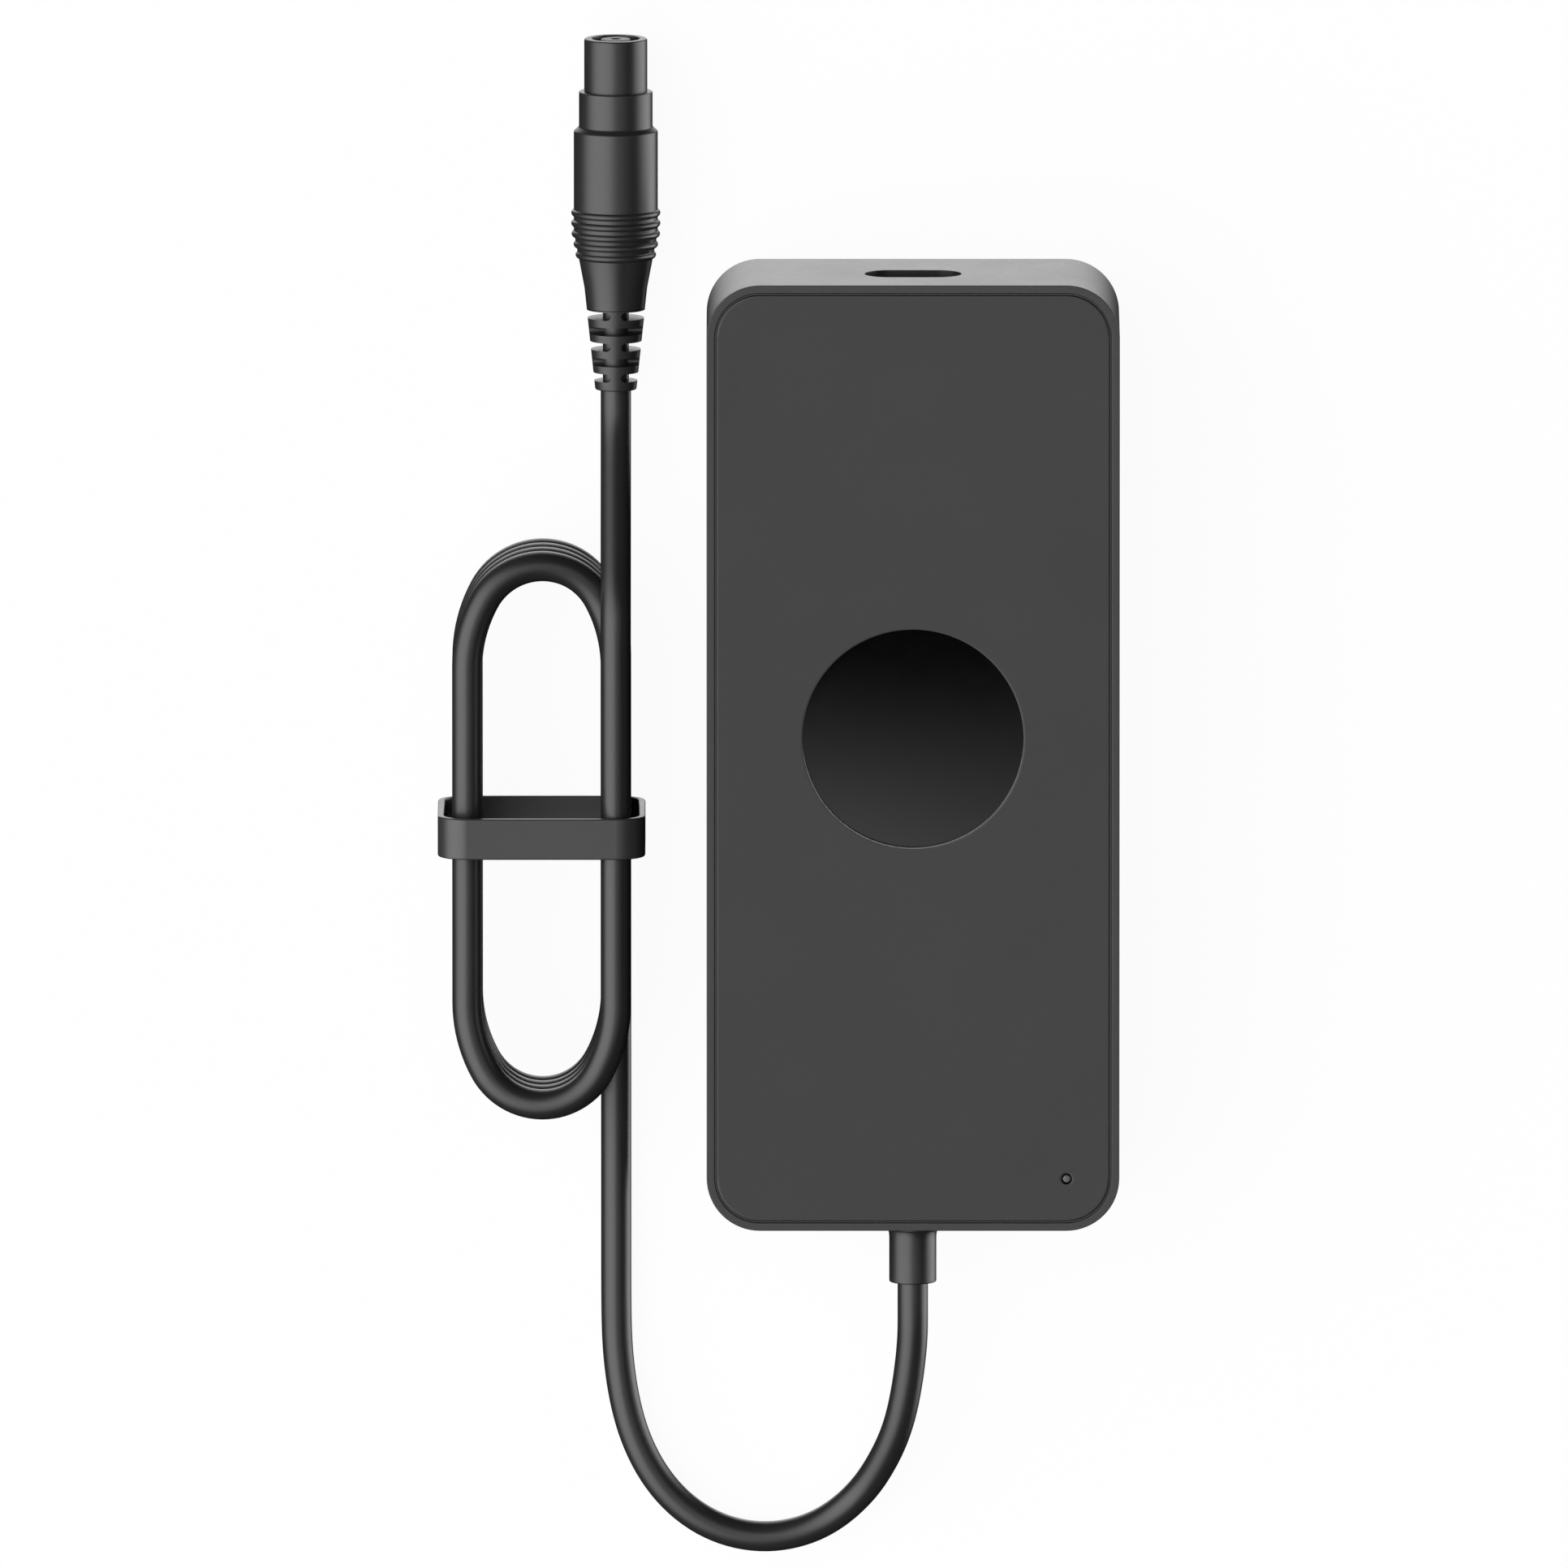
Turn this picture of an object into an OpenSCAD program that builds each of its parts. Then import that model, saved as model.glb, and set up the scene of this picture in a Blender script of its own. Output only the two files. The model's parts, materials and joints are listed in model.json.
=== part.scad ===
// Laptop power adapter: a slim two-part case with a figure-eight mains inlet,
// the power supply inside it, and a hanked output cord that ends in a barrel plug.
// Millimetres. The case lies on its back: +Z out of the front cover, +Y towards the
// mains inlet, -Y towards the output cord. The origin is under the middle of the case.

/* [Case] */
// Width of the case
case_w = 65; // [64:0.5:72]
// Length of the case
case_l = 150.4; // [148:0.4:160]
// Thickness of the case
case_t = 30.5; // [30:0.5:34]
// Radius of the upright corners
corner_r = 8.4; // [7:0.2:10]
// Thickness of the tub's walls and floor
wall = 2; // [1.6:0.2:2.4]
// Bevel along the outer edges
edge_bevel = 0.2; // [0.1:0.05:0.4]

/* [Front cover] */
// Width of the tub's rim round the cover
rim = 1.25; // [1:0.05:1.4]
// Width of the groove between rim and cover
groove = 0.35; // [0.2:0.05:0.5]
// Depth of the groove
groove_depth = 0.9; // [0.6:0.1:1.2]
// Thickness of the cover
cover_t = 2.2; // [2:0.1:2.6]
// Distance of the badge from the middle of the case, towards the inlet
badge_y = 3.1; // [0:0.1:10]
// Diameter of the badge pocket
badge_d = 34.8; // [28:0.2:40]
// Depth of the bare badge's face under the cover's face
badge_drop = 0.8; // [0.4:0.1:1]
// Thickness of the badge disc
badge_t = 0.8; // [0.6:0.1:0.8]
// Distance of the indicator from the case's centre line
led_x = 24.2; // [22:0.1:26]
// Distance of the indicator from the cord end of the case
led_from_end = 8.2; // [7.6:0.1:9]
// Diameter of the indicator's hole in the cover
led_hole_d = 1.72; // [1.6:0.02:2]
// Diameter of the light pipe in that hole
led_pipe_d = 1.24; // [1:0.02:1.4]

/* [Mains inlet] */
// Width of the inlet's mouth
inlet_w = 15.2; // [15:0.1:16]
// Height of the inlet's mouth
inlet_h = 7.9; // [7.6:0.1:8.4]
// Height of the inlet's middle above the table
inlet_z = 17.2; // [16.6:0.1:17.6]
// Depth of the inlet's recess behind the end face
inlet_depth = 12.6; // [12:0.1:13]
// Distance between the two pins
pin_pitch = 8.6; // [8.4:0.1:8.8]
// Diameter of a pin
pin_d = 2.4; // [2.2:0.1:2.6]
// Distance of the pin tips behind the end face
pin_setback = 4.4; // [4:0.2:5]

/* [Output cord] */
// Diameter of the cord
cord_d = 4.8; // [4.6:0.1:5]
// Length of the gland outside the case
gland_l = 10.4; // [8:0.2:11]
// Diameter of the gland's barrel
gland_d = 7.44; // [7:0.04:8]
// Diameter of the gland's root, against the case
gland_root_d = 8.4; // [8:0.1:9]

/* [Hank] */
// Place of the hank's inner leg, and of the plug, beside the case
leg_x = -46.8; // [-49:0.2:-45.6]
// Place of the hank's middle along the case
hank_y = -13.8; // [-15:0.1:-13]
// Distance between the hank's two legs
leg_pitch = 23.4; // [23:0.1:24.4]
// Length of the legs' straight stretch
leg_l = 53; // [52:0.2:54]
// Height of the rounded ends, from straight leg to middle of the outermost cord
arch_h = 16.2; // [15.6:0.1:17]
// Bend radius at the very end of the hank
fold_r = 10.2; // [9.8:0.1:10.8]
// Rise from one turn to the next
turn_rise = 4.6; // [4.5:0.05:4.65]
// Number of full turns
turns = 4; // [2:1:6]

/* [Keeper band] */
// Place of the band's middle along the case
band_y = -13.6; // [-20:0.2:-8]
// Clearance between the band and the hank, to each side
band_side_gap = 1.15; // [0.6:0.05:1.4]
// Width of the band along the cord
band_l = 6.5; // [5:0.1:8]
// Wall of the band
band_wall = 1.1; // [0.9:0.1:1.4]
// Clearance between the band and the hank, below and above
band_gap = 0.2; // [0.2:0.05:0.4]
// Outer radius of the band's corners
band_r = 4.7; // [3.4:0.1:4.8]

/* [Plug] */
// Radius of the plug's nose
nose_r = 4.97; // [4.9:0.01:5.1]
// Length of the nose in front of the collar
nose_l = 8.4; // [7.6:0.1:9]
// Radius of the nose's bore, over the plug's barrel contact
nose_bore_r = 3.75; // [3.7:0.05:3.9]
// Depth of the nose's bore
bore_depth = 7; // [6.4:0.1:7.2]
// Radius of the core in the nose
core_r = 2.35; // [2.2:0.05:2.5]
// Radius of the hole in the core
core_hole_r = 0.79; // [0.7:0.01:0.9]
// Radius of the collar behind the nose
collar_r = 5.8; // [5.6:0.05:6]
// Length of the collar
collar_l = 5.1; // [4.6:0.1:5.4]
// Radius of the grip sleeve
sleeve_r = 6.62; // [6.5:0.01:6.64]
// Radius of a bead over the surface that it stands on
bead_r = 0.56; // [0.5:0.02:0.58]
// Distance between the beads
bead_pitch = 1.67; // [1.6:0.01:1.7]
// Number of beads
beads = 5; // [4:1:5]
// Length of the slotted boot
boot_l = 12.9; // [12.9:0.1:14]
// Radius of the boot where the cord enters
boot_r = 3.28; // [3.1:0.02:3.5]
// Widening of the boot, for each millimetre of length
boot_flare = 0.103; // [0.09:0.001:0.11]
// Width of one slot along the boot
slot_w = 1.3; // [1.1:0.05:1.4]
// Distance from slot to slot, each a quarter turn round from the last
slot_pitch = 2.49; // [2.4:0.01:2.5]
// Number of slot pairs
slots = 5; // [3:1:5]
// Half width of the webs that the slots leave
web = 0.83; // [0.7:0.01:1]
// Radius of the boot's core inside the slots
boot_core_r = 2.06; // [2:0.02:2.2]

/* [Circuit board] */
// Width of the board
board_w = 58; // [57:0.5:58]
// Length of the board
board_l = 138; // [136:1:140]
// Thickness of the board
board_t = 1.6; // [1:0.2:1.6]
// Height of the board's underside above the tub's floor
post_h = 4; // [3:0.2:4]

/* [Hidden] */
$fn = 48;
EPS = 0.01;

// Case
end_y = case_l / 2;
cover_seat_z = case_t - cover_t;
led_y = led_from_end - end_y;
inner_w = case_w - 2 * wall;
inner_l = case_l - 2 * wall;
inner_r = corner_r - wall;
mouth_r = inlet_h / 2;
mouth_flat = inlet_w - inlet_h;
gland_neck_r = 3.2;
gland_z = case_t / 2;

// Board and what stands on it
board_z = wall + post_h;
deck = board_z + board_t;
post_x = 25;
post_y = 62;
screw_r = 1.1;
spreader_t = 0.8;
lead_r = 0.35;

// Cord and hank
cord_r = cord_d / 2;
cord_sides = 10;
hank_x = leg_x - leg_pitch / 2;
hank_z = band_wall + band_gap;
hank_h = turns * turn_rise + cord_d;
first_turn_z = hank_z + cord_r;
last_turn_z = first_turn_z + turns * turn_rise;
fold_in = leg_pitch / 2 - fold_r;
flank_r = (pow(leg_pitch / 2, 2) + pow(arch_h - fold_r, 2) - pow(fold_r, 2)) / (2 * fold_in);
flank_turn = atan2(arch_h - fold_r, flank_r - leg_pitch / 2);
gland_end_y = -end_y - gland_l;
plug_z = 7.05;
plug_y = 55.4;

// Points that steer the cord from the gland, round one wide bend and up under the hank
lead_route = [
    [0, gland_end_y, gland_z], [0, gland_end_y - 5.4, gland_z], [0, gland_end_y - 10.8, 14.3],
    [-1.7, -108.8, 11], [-5, -116.3, 7], [-8.2, -121.5, 3.8], [-14.2, -126.8, cord_r],
    [-22.9, -129.1, cord_r], [-32.2, -127.1, cord_r], [-39.9, -120.8, cord_r], [-44.7, -111.4, cord_r],
    [-46.5, -100.9, cord_r], [leg_x, -93.5, cord_r], [leg_x, -84, cord_r], [leg_x, -75, cord_r],
    [leg_x, -66, 2.7], [leg_x, -57, 3.5], [leg_x, -47.5, first_turn_z], [leg_x, -38, first_turn_z]
];
// Points that steer the cord from the top of the hank down to the plug's boot
tail_route = [
    [leg_x, 5.2, last_turn_z], [leg_x, 11, last_turn_z], [leg_x, 16.9, last_turn_z],
    [leg_x, 22.2, last_turn_z], [leg_x, 27.8, 19.3], [leg_x, 33.5, 16.2], [leg_x, 39.2, 13.1],
    [leg_x, 44.6, 10.1], [leg_x, 49.2, 7.8], [leg_x, 52.6, plug_z], [leg_x, plug_y, plug_z]
];

// Plug, measured along its own axis from the end where the cord enters
taper_r = boot_r + boot_flare * boot_l;
waist_s = 16.2;
waist_r = taper_r + boot_flare * (waist_s - boot_l);
sleeve_s = 25;
shoulder_s = 40.7;
collar_s = 42.3;
nose_s = collar_s + collar_l;
tip_s = nose_s + nose_l;
last_bead_s = 28.1;
lip = 0.8;
contact_t = 0.35;

/* ---------- helpers ---------- */

// Flat rounded rectangle about the origin
module rounded_rect(w, l, r) {
    square([w - 2 * r, l], center = true);
    square([w, l - 2 * r], center = true);
    for (x = [-1, 1], y = [-1, 1])
        translate([x * (w / 2 - r), y * (l / 2 - r)])
            circle(r);
}

// Upright prism with rounded corners
module slab(w, l, h, r) {
    linear_extrude(h)
        rounded_rect(w, l, r);
}

// Outline of one side of a bevelled block: half width a, height h, bevels low and high
function bevel_side(a, h, low, high) = [[a - low, 0], [a, low], [a, h - high], [a - high, h]];

// Upright prism with rounded corners and a bevel along its lower and upper edges
module bevelled_slab(w, l, h, r, low, high) {
    across = bevel_side(w / 2, h, low, high);
    along = bevel_side(l / 2, h, low, high);
    corner = bevel_side(r, h, low, high);
    rotate([90, 0, 0])
        linear_extrude(l - 2 * r, center = true)
            polygon(concat(across, [for (i = [3:-1:0]) [-across[i].x, across[i].y]]));
    rotate([90, 0, 90])
        linear_extrude(w - 2 * r, center = true)
            polygon(concat(along, [for (i = [3:-1:0]) [-along[i].x, along[i].y]]));
    for (x = [-1, 1], y = [-1, 1])
        translate([x * (w / 2 - r), y * (l / 2 - r), 0])
            rotate_extrude()
                polygon(concat([[0, 0]], corner, [[0, h]]));
}

// Figure of the inlet's mouth, run along +Y from y0 for a length
module mouth(y0, length) {
    translate([0, y0, inlet_z])
        rotate([-90, 0, 0])
            linear_extrude(length) {
                square([mouth_flat, inlet_h], center = true);
                for (x = [-1, 1])
                    translate([x * mouth_flat / 2, 0])
                        circle(mouth_r);
            }
}

// Cylinder along Y, from y0 for a length
module bar_y(r, y0, length) {
    translate([0, y0, 0])
        rotate([-90, 0, 0])
            cylinder(r = r, h = length);
}

// Straight wire legs down to the board, at each place in a list
module legs(places, r, top) {
    for (p = places)
        translate([p.x, p.y, deck])
            cylinder(r = r, h = top - deck);
}

// The four places of the board's screws
module at_posts() {
    for (x = [-1, 1], y = [-1, 1])
        translate([x * post_x, y * post_y, 0])
            children();
}

// Points of an arc about a centre, from angle a0 to a1
function arc(c, r, a0, a1, n) = [for (i = [0:n]) c + r * [cos(a0 + (a1 - a0) * i / n), sin(a0 + (a1 - a0) * i / n)]];

/* ---------- cord ---------- */

// One span of a uniform cubic B-spline
function span(a, b, c, d, t) =
    (pow(1 - t, 3) * a + (3 * pow(t, 3) - 6 * pow(t, 2) + 4) * b
     + (-3 * pow(t, 3) + 3 * pow(t, 2) + 3 * t + 1) * c + pow(t, 3) * d) / 6;

// The route's points with one more at each end, so that the curve starts and ends on the route
function closed_ends(p) = let (n = len(p)) concat([2 * p[0] - p[1]], p, [2 * p[n - 1] - p[n - 2]]);

// Points along the smooth curve that a route steers, with a number of steps for each span
function smooth_route(p, steps) =
    let (e = closed_ends(p))
    concat([for (i = [0:len(e) - 4], k = [0:steps - 1]) span(e[i], e[i + 1], e[i + 2], e[i + 3], k / steps)],
           [p[len(p) - 1]]);

function unit(v) = v / norm(v);

// Direction of the curve at point i
function heading(c, i) = unit(c[min(i + 1, len(c) - 1)] - c[max(i - 1, 0)]);

// One ring of a tube at point i: upright side first, then across
function ring(c, i, r, n) =
    let (t = heading(c, i), side = unit(cross(t, [0, 0, 1])), up = cross(side, t))
    [for (k = [0:n - 1]) c[i] + r * (cos(360 * k / n) * side + sin(360 * k / n) * up)];

// A round tube swept along a curve
module swept_tube(c, r, n) {
    m = len(c);
    points = [for (i = [0:m - 1]) each ring(c, i, r, n)];
    sides = [for (i = [0:m - 2], k = [0:n - 1])
        [i * n + k, i * n + (k + 1) % n, (i + 1) * n + (k + 1) % n, (i + 1) * n + k]];
    first = [for (k = [n - 1:-1:0]) k];
    last = [for (k = [0:n - 1]) (m - 1) * n + k];
    polyhedron(points, concat(sides, [first, last]));
}

function backwards(p) = [for (i = [len(p) - 1:-1:0]) p[i]];
function but_first(p) = [for (i = [1:len(p) - 1]) p[i]];
function but_last(p) = [for (i = [0:len(p) - 2]) p[i]];
function mirrored(p, x, y) = [for (q = p) [x * q.x, y * q.y]];

// A quarter of the hank's loop, along the middle of the cord: a wide flank, then the tight fold
flank = arc([leg_pitch / 2 - flank_r, leg_l / 2], flank_r, 0, flank_turn, 4);
fold = arc([0, leg_l / 2 + arch_h - fold_r], fold_r, flank_turn, 90, 6);
quarter = concat(flank, but_first(fold));

// The whole loop, anticlockwise, from its four mirrored quarters
hank_loop = concat(but_last(quarter), backwards(mirrored(quarter, -1, 1)),
                   but_last(mirrored(quarter, -1, -1)), backwards(mirrored(quarter, 1, -1)));

// Upright section through the stacked cords: as wide as one cord, round above and below
stack_section = concat(arc([0, hank_h - cord_r], cord_r, 0, 180, 6), arc([0, cord_r], cord_r, 180, 360, 6));

// A closed ring, swept round a flat loop that runs anticlockwise
module swept_loop(path, section) {
    m = len(path);
    n = len(section);
    points = [for (i = [0:m - 1])
        let (t = unit(path[(i + 1) % m] - path[(i + m - 1) % m]))
        for (p = section) [path[i].x + p.x * t.y, path[i].y - p.x * t.x, p.y]];
    polyhedron(points, [for (i = [0:m - 1], k = [0:n - 1])
        let (j = (i + 1) % m, l = (k + 1) % n)
        [i * n + k, i * n + l, j * n + l, j * n + k]]);
}

/* ---------- case ---------- */

module case_tub() {
    color([0.2, 0.2, 0.21])
        difference() {
            bevelled_slab(case_w, case_l, case_t, corner_r, 3 * edge_bevel, edge_bevel);
            translate([0, 0, board_z])
                slab(inner_w, inner_l, case_t, inner_r);
            translate([0, 0, wall])
                difference() {
                    slab(inner_w, inner_l, post_h + EPS, inner_r);
                    at_posts()
                        cylinder(r = 3, h = post_h + 1);
                }
            translate([0, 0, cover_seat_z])
                slab(case_w - 2 * rim, case_l - 2 * rim, case_t, corner_r - rim);
            at_posts()
                translate([0, 0, wall + 0.5])
                    cylinder(r = screw_r, h = case_t);
            mouth(end_y - wall - 1, wall + 2);
            translate([0, 0, gland_z])
                bar_y(gland_neck_r, -end_y - 1, wall + 2);
        }
}

module front_cover() {
    color([0.21, 0.21, 0.22])
        difference() {
            union() {
                translate([0, 0, cover_seat_z])
                    slab(case_w - 2 * rim - 0.1, case_l - 2 * rim - 0.1, cover_t - groove_depth, corner_r - rim - 0.05);
                translate([0, 0, case_t - groove_depth])
                    bevelled_slab(case_w - 2 * (rim + groove), case_l - 2 * (rim + groove), groove_depth,
                                  corner_r - rim - groove, 0, edge_bevel / 2);
                translate([0, 0, cover_seat_z - 1.4])
                    difference() {
                        slab(inner_w - 0.2, inner_l - 0.2, 1.4 + EPS, inner_r - 0.1);
                        translate([0, 0, -1])
                            slab(inner_w - 2.2, inner_l - 2.2, 4, inner_r - 1.1);
                    }
            }
            translate([0, badge_y, case_t - badge_drop - badge_t])
                cylinder(d = badge_d, h = 5);
            translate([led_x, led_y, cover_seat_z - 1])
                cylinder(d = led_hole_d, h = 5);
        }
}

// The bare disc, very slightly crowned
module badge_disc() {
    crown = 0.25;
    crown_r = (pow(badge_d / 2, 2) + pow(crown, 2)) / (2 * crown);
    crown_turn = asin(badge_d / 2 / crown_r);
    color([0.12, 0.12, 0.13])
        translate([0, badge_y, case_t - badge_drop - badge_t])
            rotate_extrude()
                polygon(concat([[0, 0], [badge_d / 2, 0]],
                               arc([0, badge_t - crown_r], crown_r, 90 - crown_turn, 90, 6)));
}

module light_pipe() {
    color([0.55, 0.56, 0.57])
        translate([led_x, led_y, 0]) {
            translate([0, 0, cover_seat_z - 1])
                cylinder(r = 1.6, h = 1);
            translate([0, 0, cover_seat_z - EPS])
                cylinder(d = led_pipe_d, h = cover_t - 0.3 + EPS);
            translate([0, 0, case_t - 0.3])
                intersection() {
                    cylinder(d = led_pipe_d, h = 1);
                    translate([0, 0, -0.6])
                        sphere(r = 0.86);
                }
        }
}

module inlet_housing() {
    back_y = end_y - inlet_depth;
    color([0.08, 0.08, 0.09])
        difference() {
            union() {
                translate([-12, back_y - 1.8, deck])
                    cube([24, end_y - wall - back_y + 1.8, 16]);
                for (x = [-1, 1])
                    translate([x * 13, end_y - wall - 4, deck + 8])
                        cube([2.2, 2.4, 16], center = true);
            }
            mouth(back_y, inlet_depth + 1);
            for (x = [-1, 1])
                translate([x * pin_pitch / 2, 0, inlet_z])
                    bar_y(pin_d / 2, back_y - 3, 4);
        }
}

module inlet_pins() {
    back_y = end_y - inlet_depth - 3.6;
    tip_y = end_y - pin_setback;
    color([0.78, 0.77, 0.74])
        for (x = [-1, 1])
            translate([x * pin_pitch / 2, 0, inlet_z]) {
                bar_y(pin_d / 2, back_y, tip_y - pin_d / 2 - back_y);
                translate([0, tip_y - pin_d / 2, 0])
                    sphere(d = pin_d);
                translate([0, back_y + 0.8, deck - inlet_z])
                    cylinder(r = 0.6, h = inlet_z - deck);
            }
}

/* ---------- board and its parts ---------- */

module insulating_sheet() {
    color([0.75, 0.74, 0.68, 0.6])
        translate([0, 0, wall])
            difference() {
                slab(56, 134, 0.4, 3);
                at_posts()
                    translate([0, 0, -1])
                        cylinder(r = 3.4, h = 3);
            }
}

module circuit_board() {
    color([0.18, 0.36, 0.2])
        translate([0, 0, board_z])
            difference() {
                slab(board_w, board_l, board_t, 3);
                at_posts()
                    translate([0, 0, -1])
                        cylinder(r = 1.5, h = 4);
                // Creepage slots between the mains side and the output side
                for (x = [-20, 20])
                    translate([x, -14, -1])
                        slab(2, 16, 4, 0.9);
            }
}

module board_screws() {
    color([0.7, 0.7, 0.72])
        at_posts() {
            translate([0, 0, wall + 1])
                cylinder(r = screw_r, h = deck - wall - 1 + EPS);
            difference() {
                translate([0, 0, deck])
                    cylinder(r = 2.4, h = 1.7);
                translate([0, 0, deck + 1.2])
                    slab(2.8, 0.6, 2, 0.05);
                translate([0, 0, deck + 1.2])
                    slab(0.6, 2.8, 2, 0.05);
            }
        }
}

module fuse() {
    color([0.8, 0.82, 0.82])
        translate([-18.5, 0, deck + 3]) {
            bar_y(2.5, 48, 20);
            for (y = [47.4, 63])
                bar_y(3, y, 5.6);
        }
}

module x_capacitor() {
    color([0.75, 0.65, 0.2]) {
        translate([13, 48, deck + 0.4])
            cube([9, 17.5, 14]);
        legs([[17.5, 50], [17.5, 63.5]], lead_r, deck + 1);
    }
}

module choke_core() {
    color([0.15, 0.15, 0.16])
        translate([0, 47, deck + 1.2])
            rotate_extrude()
                translate([5.4, 0])
                    square([3.6, 8]);
}

// Two windings, each a closed wrap round its half of the ring
module choke_windings() {
    color([0.72, 0.4, 0.2])
        for (a = [20, 200])
            translate([0, 47, deck + 1.2])
                rotate([0, 0, a])
                    rotate_extrude(angle = 140)
                        difference() {
                            translate([4.4, -1])
                                square([5.6, 10]);
                            translate([5.4, 0])
                                square([3.6, 8]);
                        }
}

module bridge_rectifier() {
    color([0.1, 0.1, 0.1]) {
        translate([-27, 20, deck + 3])
            cube([3.6, 18, 13]);
        legs([for (i = [0:3]) [-25.2, 21.8 + i * 4.8]], 0.5, deck + 3.5);
    }
}

module bulk_capacitor() {
    color([0.13, 0.15, 0.2])
        translate([15, 0, deck + 9]) {
            bar_y(8.8, 5, 29);
            bar_y(8.4, 34, 0.8);
            bar_y(8.8, 34.8, 1.6);
        }
}

// Bent aluminium plate, with fins
module primary_heatsink() {
    color([0.72, 0.73, 0.74]) {
        translate([-14, 4, deck])
            cube([2, 32, 18]);
        translate([-14, 4, deck + 16])
            cube([8, 32, 2]);
    }
}

// Body, tab and three legs of a flat power package, standing against a plate
module flat_package(x, y) {
    translate([x, y - 5, deck + 4])
        cube([4.4, 10, 9]);
    translate([x, y - 5, deck + 12])
        cube([1.3, 10, 3.6]);
    legs([for (i = [-1:1]) [x + 2.2, y + i * 2.54]], 0.45, deck + 5);
}

module switching_transistor() {
    color([0.1, 0.1, 0.1])
        translate([-14, 0, 0])
            mirror([1, 0, 0])
                flat_package(0, 14);
}

// Two E halves closed round the winding
module transformer_core() {
    color([0.2, 0.2, 0.2])
        translate([0, -14, deck + 1])
            difference() {
                translate([-14, -12, 0])
                    cube([28, 24, 17]);
                translate([-10, -13, 4])
                    difference() {
                        cube([20, 26, 9]);
                        translate([6, 6, -1])
                            cube([8, 14, 11]);
                    }
            }
}

module transformer_winding() {
    color([0.75, 0.62, 0.25])
        translate([0, -14, deck + 1])
            difference() {
                translate([-9.6, -14, 4.3])
                    cube([19.2, 28, 8.4]);
                translate([-4, -7, -1])
                    cube([8, 14, 20]);
            }
}

module y_capacitor() {
    color([0.2, 0.4, 0.65]) {
        translate([23.5, -14, deck + 6.5])
            rotate([90, 0, 90])
                cylinder(r = 4.4, h = 3, center = true);
        legs([[23.5, -16.5], [23.5, -11.5]], lead_r, deck + 4.5);
    }
}

module controller_chip() {
    color([0.07, 0.07, 0.08])
        translate([-26.5, -4, deck]) {
            translate([0, 0, 0.2])
                cube([4, 5, 1.5]);
            for (y = [0.5, 1.8, 3.1, 4.4])
                translate([-1, y - 0.2, 0])
                    cube([6, 0.4, 0.4]);
        }
}

module optocoupler() {
    color([0.9, 0.9, 0.88]) {
        translate([-24, -18.3, deck + 0.6])
            cube([6.4, 4.6, 3.5]);
        for (x = [-25, -17.6], y = [-17.3, -14.9])
            translate([x, y - 0.3, deck])
                cube([1, 0.6, 2.2]);
    }
}

module secondary_heatsink() {
    color([0.72, 0.73, 0.74]) {
        translate([-18, -58, deck])
            cube([2, 24, 18]);
        translate([-26, -58, deck + 16])
            cube([8 + EPS, 24, 2]);
    }
}

module output_rectifier() {
    color([0.1, 0.1, 0.1])
        flat_package(-16, -46);
}

// Cans with a small bead rolled into their foot
module output_capacitors() {
    color([0.12, 0.2, 0.16])
        for (p = [[4, -38], [15.5, -38], [4, -49.5]])
            translate([p.x, p.y, deck])
                rotate_extrude()
                    polygon([[0, 0.4], [4.8, 0.4], [5, 0.6], [5, 1.6], [4.7, 2], [5, 2.4], [5, 15.6], [4.6, 16], [0, 16]]);
}

module output_choke() {
    color([0.7, 0.42, 0.2])
        translate([16, -52, deck + 6.4])
            rotate([90, 0, 0])
                rotate_extrude()
                    translate([4.2, 0])
                        circle(2.1);
}

module indicator_led() {
    color([0.85, 0.9, 0.85])
        translate([led_x, led_y, 0]) {
            translate([0, 0, cover_seat_z - 6])
                cylinder(r = 1.5, h = 3.4);
            translate([0, 0, cover_seat_z - 2.6])
                sphere(r = 1.5);
            translate([0, 0, cover_seat_z - 6.8])
                cylinder(r = 1.7, h = 0.8 + EPS);
            for (x = [-1.27, 1.27])
                translate([x / 2, 0, deck])
                    cylinder(r = 0.3, h = cover_seat_z - 6.8 - deck + EPS);
        }
}

module heat_spreader() {
    color([0.74, 0.75, 0.76])
        translate([0, 2, cover_seat_z - spreader_t])
            slab(52, 116, spreader_t, 4);
}

// Plus and minus wires from the gland to the board
module output_leads() {
    color([0.75, 0.1, 0.1])
        for (x = [-2, 2])
            translate([x, 0, gland_z]) {
                bar_y(0.9, -end_y + 3.5, 6.5);
                translate([0, -end_y + 10, 0])
                    sphere(r = 0.9);
                translate([0, -end_y + 10, deck - gland_z])
                    cylinder(r = 0.9, h = gland_z - deck);
            }
}

/* ---------- cord end of the case ---------- */

// Moulded gland, held in the wall by a flange inside and a root outside
module cable_gland() {
    r = gland_d / 2;
    root = gland_root_d / 2;
    blend = root - r;
    profile = concat(
        [[0, -3.5], [5, -3.5], [5, -wall], [gland_neck_r, -wall], [gland_neck_r, 0], [root, 0], [root, 1.8]],
        [for (i = [1:6]) [r + blend * (1 - sin(15 * i)), 1.8 + 1.6 * (1 - cos(15 * i))]],
        arc([r - 0.25, gland_l - 0.25], 0.25, 0, 90, 3),
        [[0, gland_l]]);
    color([0.19, 0.19, 0.2])
        translate([0, -end_y, gland_z])
            rotate([90, 0, 0])
                rotate_extrude()
                    polygon(profile);
}

module cord_lead() {
    color([0.16, 0.16, 0.17])
        swept_tube(smooth_route(lead_route, 1), cord_r, cord_sides);
}

// The wound cord as one closed shape: the stack of turns swept round the long loop
module cord_hank() {
    color([0.16, 0.16, 0.17])
        translate([hank_x, hank_y, hank_z])
            swept_loop(hank_loop, stack_section);
}

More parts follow.
